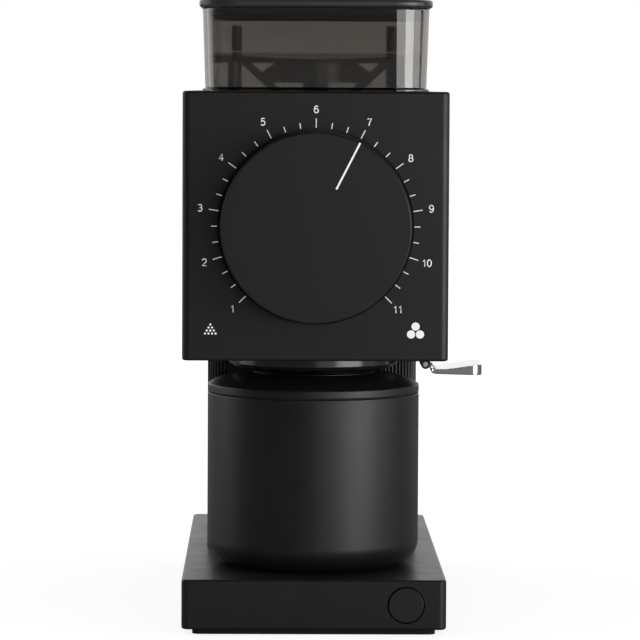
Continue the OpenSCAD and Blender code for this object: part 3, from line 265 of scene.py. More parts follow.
def new_object(name, surfaces, angle=32):
    """Object of one or more grids. Each of surfaces is (kind, grid)."""
    points, faces, start = [], [], 0
    for kind, grid in surfaces:
        faces += grid_faces(grid.shape[:2], kind, start)
        points.append(grid.reshape(-1, 3))
        start += grid.shape[0] * grid.shape[1]
    mesh = bpy.data.meshes.new(name)
    mesh.from_pydata((np.concatenate(points) * MM).tolist(), [], faces)
    tidy_mesh(mesh, angle)
    made = bpy.data.objects.new(name, mesh)
    bpy.context.scene.collection.objects.link(made)
    return made


def carve(piece, cutters):
    """Takes the space of the cutters, each (kind, grid), out of piece."""
    tools = [new_object("cutter", [cutter]) for cutter in cutters]
    for tool in tools:
        cut = piece.modifiers.new("cut", "BOOLEAN")
        cut.operation, cut.solver, cut.object = "DIFFERENCE", "EXACT", tool
    graph = bpy.context.evaluated_depsgraph_get()
    carved = bpy.data.meshes.new_from_object(piece.evaluated_get(graph))
    piece.modifiers.clear()
    piece.data = carved
    for tool in tools:
        bpy.data.objects.remove(tool)
    tidy_mesh(carved)


def dress(piece, body, slot_name, *nodes):
    """Gives a new piece its finish, body and the CAD nodes that it stands for. Its normals
    follow its large faces, so that flat faces shade flat right up to their rounded edges."""
    weigh = piece.modifiers.new("normals", "WEIGHTED_NORMAL")
    weigh.keep_sharp = True
    graph = bpy.context.evaluated_depsgraph_get()
    piece.data = bpy.data.meshes.new_from_object(piece.evaluated_get(graph))
    piece.modifiers.clear()
    piece.data.materials.clear()
    piece.data.materials.append(finish_of(slot_name))
    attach(piece, body)
    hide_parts(*nodes)


# ---- Finishes ----


def new_material(name, tint):
    """Empty material with a colour for the viewport, its node tree, and its Object coordinates."""
    made = bpy.data.materials.new(name)
    made.use_nodes = True
    made.diffuse_color = (*tint, 1)
    tree = made.node_tree
    tree.nodes.clear()
    return made, tree, add_node(tree, "ShaderNodeTexCoord").outputs["Object"]


def two_tone(tree, hex_low, hex_high, mix, height, bump, strength, sockets):
    """Principled shader whose colour runs from hex_low to hex_high with mix, and whose surface
    height lifts by up to bump millimetres. sockets holds its other inputs."""
    colour = add_node(
        tree, "ShaderNodeMix",
        {"Factor": mix, 6: (*linear(hex_low), 1), 7: (*linear(hex_high), 1)},
        data_type="RGBA",
    )
    relief = add_node(
        tree, "ShaderNodeBump", {"Height": height, "Distance": bump * MM, "Strength": strength},
    )
    shader = add_node(
        tree, "ShaderNodeBsdfPrincipled",
        {"Base Color": colour.outputs[2], "Normal": relief.outputs["Normal"], **sockets},
    )
    add_node(tree, "ShaderNodeOutputMaterial", {"Surface": shader.outputs["BSDF"]})


def grained(name, hex_low, hex_high, rough, grain, bump, cloud=9.0, **uniform):
    """Finish with a fine grain: one noise of grain millimetres lifts the surface by bump
    millimetres, and a cloudy noise of cloud millimetres moves colour and roughness a little.
    rough is (lowest, highest); uniform sets the shader's own sockets."""
    made, tree, place = new_material(name, linear(hex_low))
    fine = add_node(
        tree, "ShaderNodeTexNoise",
        {"Vector": place, "Scale": per_metre(grain), "Detail": 3.0, "Roughness": 0.55},
    )
    clouds = add_node(
        tree, "ShaderNodeTexNoise",
        {"Vector": place, "Scale": per_metre(cloud), "Detail": 4.0, "Roughness": 0.6},
    )
    roughness = add_node(
        tree, "ShaderNodeMapRange",
        {"Value": clouds.outputs["Fac"], "From Min": 0.3, "From Max": 0.7,
         "To Min": rough[0], "To Max": rough[1]},
    )
    sockets = {
        key.replace("_", " ").title().replace("Ior", "IOR"): value
        for key, value in uniform.items()
    }
    sockets["Roughness"] = roughness.outputs["Result"]
    mix, height = clouds.outputs["Fac"], fine.outputs["Fac"]
    two_tone(tree, hex_low, hex_high, mix, height, bump, 1.0, sockets)
    return made


def banded(name, hex_low, hex_high, rough, pitch, axis, bump, metallic):
    """Finish with dark and light bands, each pitch millimetres wide, across one axis: turned or
    stacked metal. A wave texture repeats each pi / (10 * scale) metres, which is two bands."""
    made, tree, place = new_material(name, linear(hex_low))
    bands = add_node(
        tree, "ShaderNodeTexWave",
        {"Vector": place, "Scale": math.pi / (10 * 2 * pitch * MM), "Distortion": 0.6,
         "Detail": 2.0, "Detail Scale": 4.0},
        wave_type="BANDS", bands_direction=axis,
    )
    two_tone(tree, hex_low, hex_high, bands.outputs["Fac"], bands.outputs["Fac"], bump, 0.6,
             {"Roughness": rough, "Metallic": metallic})
    return made


def black_powder_coat():
    # Polyester powder coat, sprayed and baked: near black, matte, with a very fine tooth.
    # The real tooth of 0.1 mm is too fine to show, so it is drawn 0.5 mm wide.
    return grained("black_powder_coat", "#121213", "#161617", (0.36, 0.42), 0.5, 0.006,
                   specular_ior_level=0.35)


def black_moulded_abs():
    # Injection-moulded ABS with a spark-eroded texture: a little softer than the paint
    return grained("black_moulded_abs", "#121213", "#161617", (0.40, 0.46), 0.45, 0.006,
                   specular_ior_level=0.35)


def ribbed_column_paint():
    # Satin paint on an extruded, ribbed column: each rib takes a narrow highlight
    return grained("painted_extrusion", "#141415", "#19191A", (0.34, 0.40), 0.6, 0.004,
                   specular_ior_level=0.4)


def soft_touch_coat():
    # Soft-touch lacquer on drawn steel: matte black with wide, smooth highlights
    return grained("soft_touch_lacquer", "#0F0F10", "#131314", (0.36, 0.42), 0.6, 0.004,
                   specular_ior_level=0.45)


def black_rubber():
    # Moulded EPDM rubber: dull and slightly powdery
    return grained("moulded_epdm_rubber", "#101011", "#171717", (0.72, 0.85), 0.5, 0.02,
                   specular_ior_level=0.3)


def white_screen_print():
    # Screen-printed epoxy ink: flat white with slightly uneven cover
    return grained("screen_printed_ink", "#E2E2E0", "#F2F2F0", (0.5, 0.6), 0.3, 0.002, 1.5,
                   specular_ior_level=0.3)


def polished_chrome():
    # Chrome plate on cast zinc, polished: mirror bright with a faint waviness of the casting
    return grained("chrome_plated_zinc", "#C6C8CA", "#D4D5D7", (0.05, 0.09), 6.0, 0.01,
                   metallic=1.0)


def smoke_copolyester():
    # Injection-moulded smoke-tinted copolyester: clear, glossy, brown-grey in the depth.
    # Light crosses four faces of two walls, so each face takes its share of the tint.
    made, tree, place = new_material("smoke_copolyester", linear("#8A837C"))
    flow = add_node(
        tree, "ShaderNodeTexNoise",
        {"Vector": place, "Scale": per_metre(18), "Detail": 2.0},
    ).outputs["Fac"]
    two_tone(tree, "#8A8682", "#8F8B87", flow, flow, 0.01, 0.5,
             {"Roughness": 0.03, "IOR": 1.55, "Transmission Weight": 1.0})
    return made


def dark_smoke_polycarbonate():
    # Dark translucent polycarbonate: glossy, nearly black where it is thick
    return grained("dark_smoke_polycarbonate", "#161514", "#1D1B1A", (0.16, 0.22), 4.0, 0.003,
                   ior=1.58, specular_ior_level=0.5)


def satin_lid_abs():
    # Satin moulded ABS of the lid: smooth, with a soft gloss
    return grained("satin_moulded_abs", "#232324", "#29292A", (0.26, 0.34), 0.8, 0.003,
                   specular_ior_level=0.5)


def machined_steel():
    # Turned and ground steel: bright, with fine tool marks along the axis
    return banded("turned_steel", "#9A9A9C", "#B9B9BB", 0.3, 0.4, "Y", 0.002, 1.0)


def ground_burr_steel():
    # Hardened burr steel, ground flat: fine cloudy scratches
    return grained("ground_burr_steel", "#A2A2A5", "#C6C6C8", (0.2, 0.36), 0.4, 0.004, 3.0,
                   metallic=1.0)


def cast_aluminium():
    # Die-cast aluminium, as cast: dull grey skin with a sandy grain
    return grained("die_cast_aluminium", "#8C8C8F", "#A5A5A8", (0.45, 0.62), 0.7, 0.02,
                   metallic=1.0)


def turned_bronze():
    # Sintered bronze, turned: warm brown-gold with fine rings
    return banded("sintered_bronze", "#9A6A34", "#B98447", 0.38, 0.4, "Y", 0.003, 1.0)


def enamelled_copper():
    # Enamelled copper wire laid in turns of 0.8 mm: glossy, ribbed, red-brown
    return banded("enamelled_copper_wire", "#6E3013", "#B35A2A", 0.3, 0.8, "Z", 0.12, 0.8)


def motor_laminations():
    # Stacked electrical sheet of 0.5 mm: thin dark and light bands along the motor
    return banded("stacked_electrical_sheet", "#3C3C40", "#6D6D71", 0.5, 0.5, "Y", 0.03, 0.9)


def solder_mask():
    # Epoxy board with green solder mask: satin with faint weave
    return grained("green_solder_mask", "#133A21", "#1C5230", (0.3, 0.4), 0.7, 0.01,
                   specular_ior_level=0.5)


def dark_nylon():
    # Glass-filled nylon: dark grey with pale fibres near the skin
    return grained("glass_filled_nylon", "#2C2C2F", "#3E3E42", (0.5, 0.65), 0.5, 0.02,
                   specular_ior_level=0.4)


def wire_insulation():
    # PVC insulation: dark red, slightly glossy
    return grained("pvc_insulation", "#4A1414", "#5C1A1A", (0.35, 0.45), 1.2, 0.01)


FINISHES = {
    "black_paint": black_powder_coat,
    "black_plastic": black_moulded_abs,
    "column_paint": ribbed_column_paint,
    "cup_coat": soft_touch_coat,
    "black_rubber": black_rubber,
    "white_print": white_screen_print,
    "chrome": polished_chrome,
    "smoke_clear": smoke_copolyester,
    "smoke_dark": dark_smoke_polycarbonate,
    "lid_plastic": satin_lid_abs,
    "steel": machined_steel,
    "burr_steel": ground_burr_steel,
    "cast_aluminium": cast_aluminium,
    "bronze": turned_bronze,
    "copper": enamelled_copper,
    "laminations": motor_laminations,
    "board_green": solder_mask,
    "dark_parts": dark_nylon,
    "wire_red": wire_insulation,
}
made_finishes = {}


def finish_of(slot_name):
    """The finish for one of the record's material slots, made once."""
    if slot_name not in made_finishes:
        made_finishes[slot_name] = FINISHES[slot_name]()
    return made_finishes[slot_name]


# ---- Settings ----


def length_prop(name, text, default_mm):
    """A length setting in metres, from a default in millimetres."""
    return FloatProperty(name=name, description=text, default=default_mm * MM, unit="LENGTH")


def angle_prop(name, text, default_degrees):
    """An angle setting, from a default in degrees."""
    turn = math.radians(default_degrees)
    return FloatProperty(name=name, description=text, default=turn, subtype="ANGLE")


class BodySettings(bpy.types.PropertyGroup):
    """Sizes of the base, column and head that the frame's boxes don't give."""

    corner: length_prop("Corner radius", "Radius of the upright edges", 3.0)
    edge: length_prop("Edge radius", "Radius of the other edges", 1.0)
    base_wall: length_prop("Base wall", "Wall of the base housing", 2.6)
    head_wall: length_prop("Head wall", "Wall of the head", 3.0)
    column_corner: length_prop("Column corner", "Corner radius of the column", 8.0)
    column_wall: length_prop("Column wall", "Wall of the column", 3.0)
    rib_pitch: length_prop("Rib pitch", "Distance from rib to rib on the column", 1.5)
    rib_depth: length_prop("Rib depth", "Depth of the grooves between the ribs", 0.5)
    button_gap: length_prop("Button gap", "Gap round the start button", 0.45)
    groove_inner: length_prop("Groove inside", "Inner radius of the groove behind the dial", 34.8)
    groove_outer: length_prop("Groove outside", "Outer radius of the groove behind the dial", 38.7)
    groove_depth: length_prop("Groove depth", "Depth of the groove behind the dial", 2.5)


class DialSettings(bpy.types.PropertyGroup):
    """Sizes of the dial, its pointer and the printed scale."""

    edge: length_prop("Edge radius", "Radius round the dial's front edge", 0.7)
    wall: length_prop("Wall", "Wall of the dial", 2.6)
    bore: length_prop("Bore", "Radius of the hub's bore for the spindle", 7.02)
    hub_wall: length_prop("Hub wall", "Wall of the hub", 3.0)
    pointer_start: length_prop("Pointer start", "Radius where the pointer line begins", 17.0)
    pointer_width: length_prop("Pointer width", "Width of the pointer line", 0.7)
    pointer_turn: angle_prop("Pointer turn", "Clockwise turn of the pointer from the top", 27)
    mark_start: length_prop("Mark start", "Radius where the marks begin", 38.8)
    mark_minor: length_prop("Minor mark", "Length of a minor mark", 2.3)
    mark_major: length_prop("Major mark", "Length of a mark at a whole number", 3.7)
    mark_width: length_prop("Mark width", "Width of a mark", 0.36)
    number_radius: length_prop("Number radius", "Radius of the ring of numbers", 46.0)
    number_height: length_prop("Number height", "Height of the numbers", 3.1)
    number_stroke: length_prop("Number stroke", "Width of the numbers' strokes", 0.42)
    numbers: IntProperty(name="Numbers", description="Numbers on the scale", default=11, min=3)
    print_thickness: length_prop("Print thickness", "Thickness of the printed ink", 0.1)


class LeverSettings(bpy.types.PropertyGroup):
    """Sizes of the knock lever."""

    root: length_prop("Root", "Distance from the pin to the blade's root", 2.6)
    tip_round: length_prop("Tip radius", "Radius of the blade's corners at its tip", 4.5)
    lean: FloatProperty(
        name="Lean", description="Rise of the blade's top face for its width", default=0.045,
    )
    barrel: length_prop("Barrel", "Radius of the barrel round the pin", 1.9)
    arm_width: length_prop("Arm width", "Width of the barrel", 8.0)


class CupSettings(bpy.types.PropertyGroup):
    """Sizes of the grounds cup, its lid and the spout."""

    foot: length_prop("Foot radius", "Radius round the cup's foot", 10.0)
    wall: length_prop("Wall", "Wall of the cup", 1.6)
    dome: length_prop("Dome arc", "Arc radius of the lid's dome", 37.5)
    collar_rise: length_prop("Collar rise", "How far the lid's collar stands out of its dome", 0.2)
    dome_edge: length_prop("Dome edge", "Radius between the lid's dome and its rim", 0.8)
    collar: length_prop("Collar", "Outer radius of the lid's collar", 24.7)
    opening: length_prop("Opening", "Radius of the lid's opening", 22.7)
    outlet: length_prop("Outlet", "Radius of the spout's outlet", 23.2)


class HopperSettings(bpy.types.PropertyGroup):
    """Sizes of the hopper's bin and lid."""

    corner: length_prop("Corner radius", "Corner radius at the foot of the bin", 12.4)
    flare: length_prop("Flare", "How far each wall leans out from foot to top", 1.1)
    wall: length_prop("Wall", "Wall of the bin", 2.2)
    flange_width: length_prop("Flange width", "How far the foot flange stands out", 1.2)
    flange: length_prop("Flange", "Thickness of the foot flange", 0.9)
    lid: length_prop("Lid", "Thickness of the lid's plate", 3.3)
    lid_edge: length_prop("Lid edge", "Radius of the lid's edges", 1.2)
    skirt: length_prop("Skirt", "Wall of the lid's skirt", 1.8)
    seal_gap: length_prop("Seal gap", "Gap for the seal between the bin and the skirt", 0.35)


class StageSettings(bpy.types.PropertyGroup):
    """Camera, lamps and surroundings."""

    lens: FloatProperty(name="Lens", description="Focal length", default=203.12, min=1)
    camera_place: FloatVectorProperty(
        name="Camera place", description="Place of the camera",
        default=(-0.01709, -1.52894, 0.21664), subtype="TRANSLATION",
    )
    camera_pitch: angle_prop("Camera pitch", "How far the camera looks down", 3.686)
    camera_yaw: angle_prop("Camera yaw", "How far the camera turns to the right", 0.7654)
    camera_roll: angle_prop("Camera roll", "How far the camera leans to the left", 0.2771)
    room: FloatVectorProperty(
        name="Room", description="Colour of the soft light from all round",
        default=linear("#F4F4F4"), subtype="COLOR", size=3,
    )
    room_light: FloatProperty(
        name="Room light", description="Strength of the soft light from all round", default=0.82,
    )
    mirrored_light: FloatProperty(
        name="Mirrored light", description="Strength of what glossy faces mirror behind the grinder",
        default=1.1,
    )
    floor: FloatVectorProperty(
        name="Floor", description="Colour of the floor", default=linear("#EDEDEB"),
        subtype="COLOR", size=3,
    )


GROUPS = {
    "grinder_body": BodySettings,
    "grinder_dial": DialSettings,
    "grinder_lever": LeverSettings,
    "grinder_cup": CupSettings,
    "grinder_hopper": HopperSettings,
    "grinder_stage": StageSettings,
}


def own_props(group):
    """The properties that a settings group defines itself."""
    return [p for p in group.bl_rna.properties if p.identifier not in ("rna_type", "name")]


def settings(name):
    """A settings group of the scene, with its lengths turned to millimetres."""
    group = getattr(bpy.context.scene, name)
    values = SimpleNamespace()
    for prop in own_props(group):
        value = getattr(group, prop.identifier)
        is_length = getattr(prop, "unit", "") == "LENGTH"
        setattr(values, prop.identifier, value / MM if is_length else value)
    return values


# ---- Pieces ----


class GRINDER_OT_base(bpy.types.Operator):
    """Base housing with soft edges, open below, and the round start button"""

    bl_idname = "grinder.build_base"
    bl_label = "Base"

    def execute(self, context):
        s = settings("grinder_body")
        width, length, _ = BASE_HI - BASE_LO
        top, foot, front, back = BASE_HI[2], BASE_LO[2], BASE_LO[1], BASE_HI[1]
        side = soft_sides(s.edge, foot, top)
        side += [(s.base_wall, foot), (s.base_wall, top - s.base_wall)]
        housing = new_object("base_shell", [("capped", inset_rings(width, length, s.corner, side))])

        lo, hi = cad_box("start_button")
        button_x, _, button_z = (lo + hi) / 2
        button_r = (hi[2] - lo[2]) / 2
        gland_lo, gland_hi = cad_box("lead_gland")
        gland_x, _, gland_z = (gland_lo + gland_hi) / 2
        gland_rim = 1
        gland_r = (gland_hi[0] - gland_lo[0]) / 2 - gland_rim
        hole = rod(button_r + s.button_gap, (button_x, button_z),
                   front - CUTTER_PAST, front + s.base_wall + CUTTER_PAST, 96)
        gland_hole = rod(gland_r, (gland_x, gland_z),
                         back - s.base_wall - CUTTER_PAST, back + CUTTER_PAST, 48)
        carve(housing, [("capped", hole), ("capped", gland_hole)])
        dress(housing, "housing", "black_paint", "base_housing")

        # Cap with a face dished to its middle, a flange behind the wall and a stem
        front, back = lo[1], hi[1]
        flange, flange_front, flange_back = button_r + 1.35, front + 3.5, front + 4.7
        dish, dish_rim = 0.12, button_r - 2.5
        inside, face_back, stem = button_r - 1.4, front + 2, 2
        profile = fillet(
            [(0, front + dish), (dish_rim, front), (button_r, front), (button_r, flange_front),
             (flange, flange_front), (flange, flange_back), (inside, flange_back),
             (inside, face_back), (stem, face_back), (stem, back), (0, back)],
            [0, 8, 0.45, 0, 0, 0, 0, 0, 0, 0, 0],
        )
        cap = new_object("start_button_cap",
                         [("poles", turned(profile, (button_x, button_z), "y", 96))])
        dress(cap, "button", "black_plastic", "start_button")
        return {"FINISHED"}


class GRINDER_OT_column(bpy.types.Operator):
    """Hollow column with fine upright ribs all round"""

    bl_idname = "grinder.build_column"
    bl_label = "Column"

    def execute(self, context):
        s = settings("grinder_body")
        width, length, _ = COLUMN_HI - COLUMN_LO
        middle = (COLUMN_LO[1] + COLUMN_HI[1]) / 2
        outline = round_rect(width, length, s.column_corner, 24)
        loop = np.vstack([outline, outline[:1]])
        steps = np.linalg.norm(np.diff(loop, axis=0), axis=1)
        run = np.concatenate([[0], np.cumsum(steps)])
        per_rib = 8
        at = np.linspace(0, run[-1], round(run[-1] / s.rib_pitch) * per_rib, endpoint=False)
        ring = np.stack([np.interp(at, run, loop[:, i]) for i in (0, 1)], 1)
        tangent = np.roll(ring, -1, 0) - np.roll(ring, 1, 0)
        tangent /= np.linalg.norm(tangent, axis=1, keepdims=True)
        normal = np.stack([tangent[:, 1], -tangent[:, 0]], 1)
        # Round ribs: the groove is the square of a raised cosine, so it is narrower than a rib
        wave = (0.5 + 0.5 * np.cos(2 * math.pi * np.arange(len(ring)) / per_rib)) ** 2
        ribbed = ring - normal * (s.rib_depth * wave)[:, None]
        plain = ring - normal * s.column_wall
        low, high = COLUMN_LO[2], COLUMN_HI[2]
        rows = [(ribbed, low), (ribbed, high), (plain, high), (plain, low)]
        grid = np.array([
            np.column_stack([xy + (0, middle), np.full(len(xy), z)]) for xy, z in rows
        ])
        column = new_object("ribbed_column", [("ring", grid)], angle=50)
        dress(column, "housing", "column_paint", "column")
        return {"FINISHED"}


class GRINDER_OT_head(bpy.types.Operator):
    """Box of the head with soft edges, hollow and open at the back"""

    bl_idname = "grinder.build_head"
    bl_label = "Head"

    def execute(self, context):
        s = settings("grinder_body")
        width, length, _ = HEAD_HI - HEAD_LO
        front, back, low, high = HEAD_LO[1], HEAD_HI[1], HEAD_LO[2], HEAD_HI[2]
        side = soft_sides(s.edge, low, high)
        grid = inset_rings(width, length, s.corner, side, steps=12)
        head = new_object("head_housing", [("capped", grid)])

        wall, past, gap = s.head_wall, CUTTER_PAST, 0.2
        cavity = block(
            (-width / 2 + wall, front + wall, low + wall),
            (width / 2 - wall, back + past, high - wall),
        )
        bushing = cad_box("dial_spindle")[1][0] + 1.05
        bore = rod(bushing, (0, DIAL_Z), front - past, front + wall + past, 64)
        mouth, bed = front - past, front + s.groove_depth
        groove = np.array([
            [s.groove_inner, mouth], [s.groove_outer, mouth], [s.groove_outer, bed],
            [s.groove_inner, bed], [s.groove_inner, mouth],
        ])
        neck = block((*NECK_HOLE[0], high - wall - past), (*NECK_HOLE[1], high + past))
        chute = block(
            (CHUTE_LO[0] - gap, CHUTE_LO[1] - gap, low - past),
            (CHUTE_HI[0] + gap, CHUTE_HI[1] + gap, low + wall + past),
        )
        slot = block((*LEVER_SLOT[0], low - past), (*LEVER_SLOT[1], low + wall + past))
        carve(head, [
            ("capped", cavity), ("capped", bore),
            ("poles", turned(groove, (0, DIAL_Z), "y", 192)),
            ("capped", neck), ("capped", chute), ("capped", slot),
        ])
        dress(head, "housing", "black_paint", "head_shell")
        return {"FINISHED"}


def arc(centre, radii, first, last, steps=14):
    """Points of an ellipse arc from angle first to angle last, in degrees from the right."""
    turn = np.radians(np.linspace(first, last, steps))
    return [(centre[0] + radii[0] * math.cos(a), centre[1] + radii[1] * math.sin(a)) for a in turn]


# Centre lines of the numerals' strokes, round a middle at the origin and STROKE_RISE high, in
# the same unit as the step from one digit to the next
DIGIT_STEP = 0.64
STROKE_RISE = 0.88
STROKES = {
    "0": [arc((0, 0), (0.25, 0.44), 0, 360, 28)],
    "1": [[(-0.17, 0.24), (-0.04, 0.3), (0.05, 0.44), (0.05, -0.44)]],
    "2": [arc((0, 0.18), (0.26, 0.26), 170, -35) + [(-0.26, -0.44), (0.27, -0.44)]],
    "3": [arc((-0.02, 0.22), (0.22, 0.22), 150, -90) + arc((-0.02, -0.2), (0.26, 0.24), 90, -150)],
    "4": [[(0.12, -0.44), (0.12, 0.42), (-0.27, -0.16), (0.28, -0.16)]],
    "5": [[(0.22, 0.44), (-0.17, 0.44), (-0.23, 0.02)]
          + arc((-0.01, -0.15), (0.26, 0.29), 140, -150)],
    "6": [arc((0.01, -0.17), (0.25, 0.27), 180, -180, 24)
          + arc((0.03, 0.0), (0.27, 0.44), 180, 45)],
    "7": [[(-0.27, 0.44), (0.27, 0.44), (0.05, 0.08), (-0.08, -0.44)]],
    "8": [arc((0, 0.22), (0.21, 0.22), 0, 360, 24), arc((0, -0.21), (0.26, 0.23), 0, 360, 24)],
    "9": [arc((-0.01, 0.17), (0.25, 0.27), 0, 360, 24)
          + arc((-0.03, 0.0), (0.27, 0.44), 0, -135)],
}


def numeral_mesh(number, height, thickness, stroke):
    """Mesh of a number that stands upright and faces the front, centred on the origin: a thin
    rod along each stroke, pressed flat."""
    curve = bpy.data.curves.new("numeral", "CURVE")
    curve.dimensions = "3D"
    curve.bevel_depth = stroke / height / 2
    curve.bevel_resolution = 1
    curve.use_fill_caps = True
    digits = str(number)
    for k, digit in enumerate(digits):
        shift = (k - (len(digits) - 1) / 2) * DIGIT_STEP
        for points in STROKES[digit]:
            line = curve.splines.new("POLY")
            line.points.add(len(points) - 1)
            for point, (x, y) in zip(line.points, points):
                point.co = (x + shift, y, 0, 1)
    holder = bpy.data.objects.new("numeral", curve)
    mesh = bpy.data.meshes.new_from_object(holder)
    # The rods stick half a stroke out of their centre lines at the top and at the foot
    size = height * MM / (STROKE_RISE + stroke / height)
    flat = thickness * MM / (stroke / height)
    mesh.transform(Matrix(((size, 0, 0, 0), (0, 0, flat, 0), (0, size, 0, 0), (0, 0, 0, 1))))
    bpy.data.objects.remove(holder)
    bpy.data.curves.remove(curve)
    return mesh


MARK_STEP = math.radians(9)
MARKS_PER_NUMBER = 3
# Triangles of printed dots, fine on the left and coarse on the right: place of the top dot from
# the dial's axis, distance between dots, distance between rows, rows, dot radius, sides
DOT_TRIANGLES = (
    ((-41.3, -38.7), 1.4, 1.19, 4, 0.4, 14),
    ((39.5, -39.2), 3.52, 3.1, 2, 1.62, 32),
)


class GRINDER_OT_scale(bpy.types.Operator):
    """Printed marks and numbers round the dial, and the fine and coarse dots"""

    bl_idname = "grinder.build_scale"
    bl_label = "Scale"

    def execute(self, context):
        s = settings("grinder_dial")
        face, thick = HEAD_LO[1], s.print_thickness
        marks = MARKS_PER_NUMBER * (s.numbers - 1) + 1
        surfaces = []
        for i in range(marks):
            length = s.mark_major if i % MARKS_PER_NUMBER == 0 else s.mark_minor
            bar = block((-s.mark_width / 2, face - thick, s.mark_start),
                        (s.mark_width / 2, face, s.mark_start + length))
            turn = (i - (marks - 1) / 2) * MARK_STEP
            surfaces.append(("capped", turned_on_dial(bar, turn)))
        for top, pitch, drop, rows, radius, sides in DOT_TRIANGLES:
            for row in range(rows):
                for k in range(row + 1):
                    place = (top[0] + (k - row / 2) * pitch, DIAL_Z + top[1] - row * drop)
                    surfaces.append(("capped", rod(radius, place, face, face - thick, sides)))
        scale = new_object("printed_scale", surfaces)

        bm = bmesh.new()
        bm.from_mesh(scale.data)
        for number in range(1, s.numbers + 1):
            turn = (number - (s.numbers + 1) / 2) * MARKS_PER_NUMBER * MARK_STEP
            glyph = numeral_mesh(number, s.number_height, thick, s.number_stroke)
            glyph.transform(Matrix.Translation(Vector((
                s.number_radius * math.sin(turn), face - thick / 2,
                DIAL_Z + s.number_radius * math.cos(turn),
            )) * MM))
            bm.from_mesh(glyph)
            bpy.data.meshes.remove(glyph)
        bm.to_mesh(scale.data)
        bm.free()
        tidy_mesh(scale.data)
        dress(scale, "housing", "white_print", "scale_marks")
        return {"FINISHED"}


class GRINDER_OT_dial(bpy.types.Operator):
    """Grind dial with a rounded front edge, and the white pointer line let into it"""

    bl_idname = "grinder.build_dial"
    bl_label = "Dial"

    def execute(self, context):
        s = settings("grinder_dial")
        radius = (DIAL_HI[0] - DIAL_LO[0]) / 2
        front, back = DIAL_LO[1], DIAL_HI[1]
        hub, hub_back, inside = s.bore + s.hub_wall, back - 1, front + s.wall
        profile = fillet(
            [(0, front), (radius, front), (radius, back), (radius - s.wall, back),
             (radius - s.wall, inside), (hub, inside), (hub, hub_back), (s.bore, hub_back),
             (s.bore, inside), (0, inside)],
            [0, s.edge, 0.3, 0.3, 0.8, 0.8, 0, 0, 0, 0], 8,
        )
        dial = new_object("grind_dial", [("poles", turned(profile, (0, DIAL_Z), "y", 256))])
        dress(dial, "dial", "black_plastic", "dial_knob")

        # The line runs up the face and on over the round edge: a flat strip carried along a
        # path of (height, depth), whose outward direction turns with the edge
        bend = quarter(0, 8)[1:-1]
        outward = np.stack([np.sin(bend), -np.cos(bend)], 1)
        path = np.vstack([
            [(s.pointer_start, front), (radius - s.edge, front)],
            (radius - s.edge, front + s.edge) + s.edge * outward,
        ])
        outward = np.vstack([[(0, -1), (0, -1)], outward])
        proud, sunk, half = 0.03, 0.25, s.pointer_width / 2
        rows = []
        for shift, side in ((proud, -half), (proud, half), (-sunk, half), (-sunk, -half)):
            at = path + outward * shift
            rows.append(np.stack([np.full(len(at), side), at[:, 1], at[:, 0]], 1))
        strip = turned_on_dial(np.array(rows).transpose(1, 0, 2), s.pointer_turn)
        line = new_object("dial_line", [("capped", strip)], angle=20)
        dress(line, "dial", "white_print", "dial_pointer")
        return {"FINISHED"}


class GRINDER_OT_spout(bpy.types.Operator):
    """Spout under the head: a glossy rim, a bevel and a shallow cone with a round outlet"""

    bl_idname = "grinder.build_spout"
    bl_label = "Spout"

    def execute(self, context):
        s = settings("grinder_cup")
        lo, hi = cad_box("spout_bell")
        radius, top, low = (hi[0] - lo[0]) / 2, hi[2], lo[2]
        rim_foot, bevel_foot, bevel, lip, plate = top - 4.1, top - 5.5, 1.7, 1.8, top - 1.6
        profile = fillet(
            [(0, top), (radius, top), (radius, rim_foot), (radius - bevel, bevel_foot),
             (s.outlet + lip, low), (s.outlet, low), (s.outlet, plate), (0, plate)],
            [0, 0, 0.35, 0.3, 0.3, 0.3, 0.5, 0], 5,
        )
        spout = new_object("spout", [("poles", turned(profile, (0, CUP_Y), "z", 160))])
        chute_wall, below = 3, 3
        chute = block(
            (CHUTE_LO[0] + chute_wall, CHUTE_LO[1] + chute_wall, top - below),
            (CHUTE_HI[0] - chute_wall, CHUTE_HI[1] - chute_wall, top + CUTTER_PAST),
        )
        carve(spout, [("capped", chute)])
        dress(spout, "housing", "smoke_dark", "spout_bell")
        return {"FINISHED"}


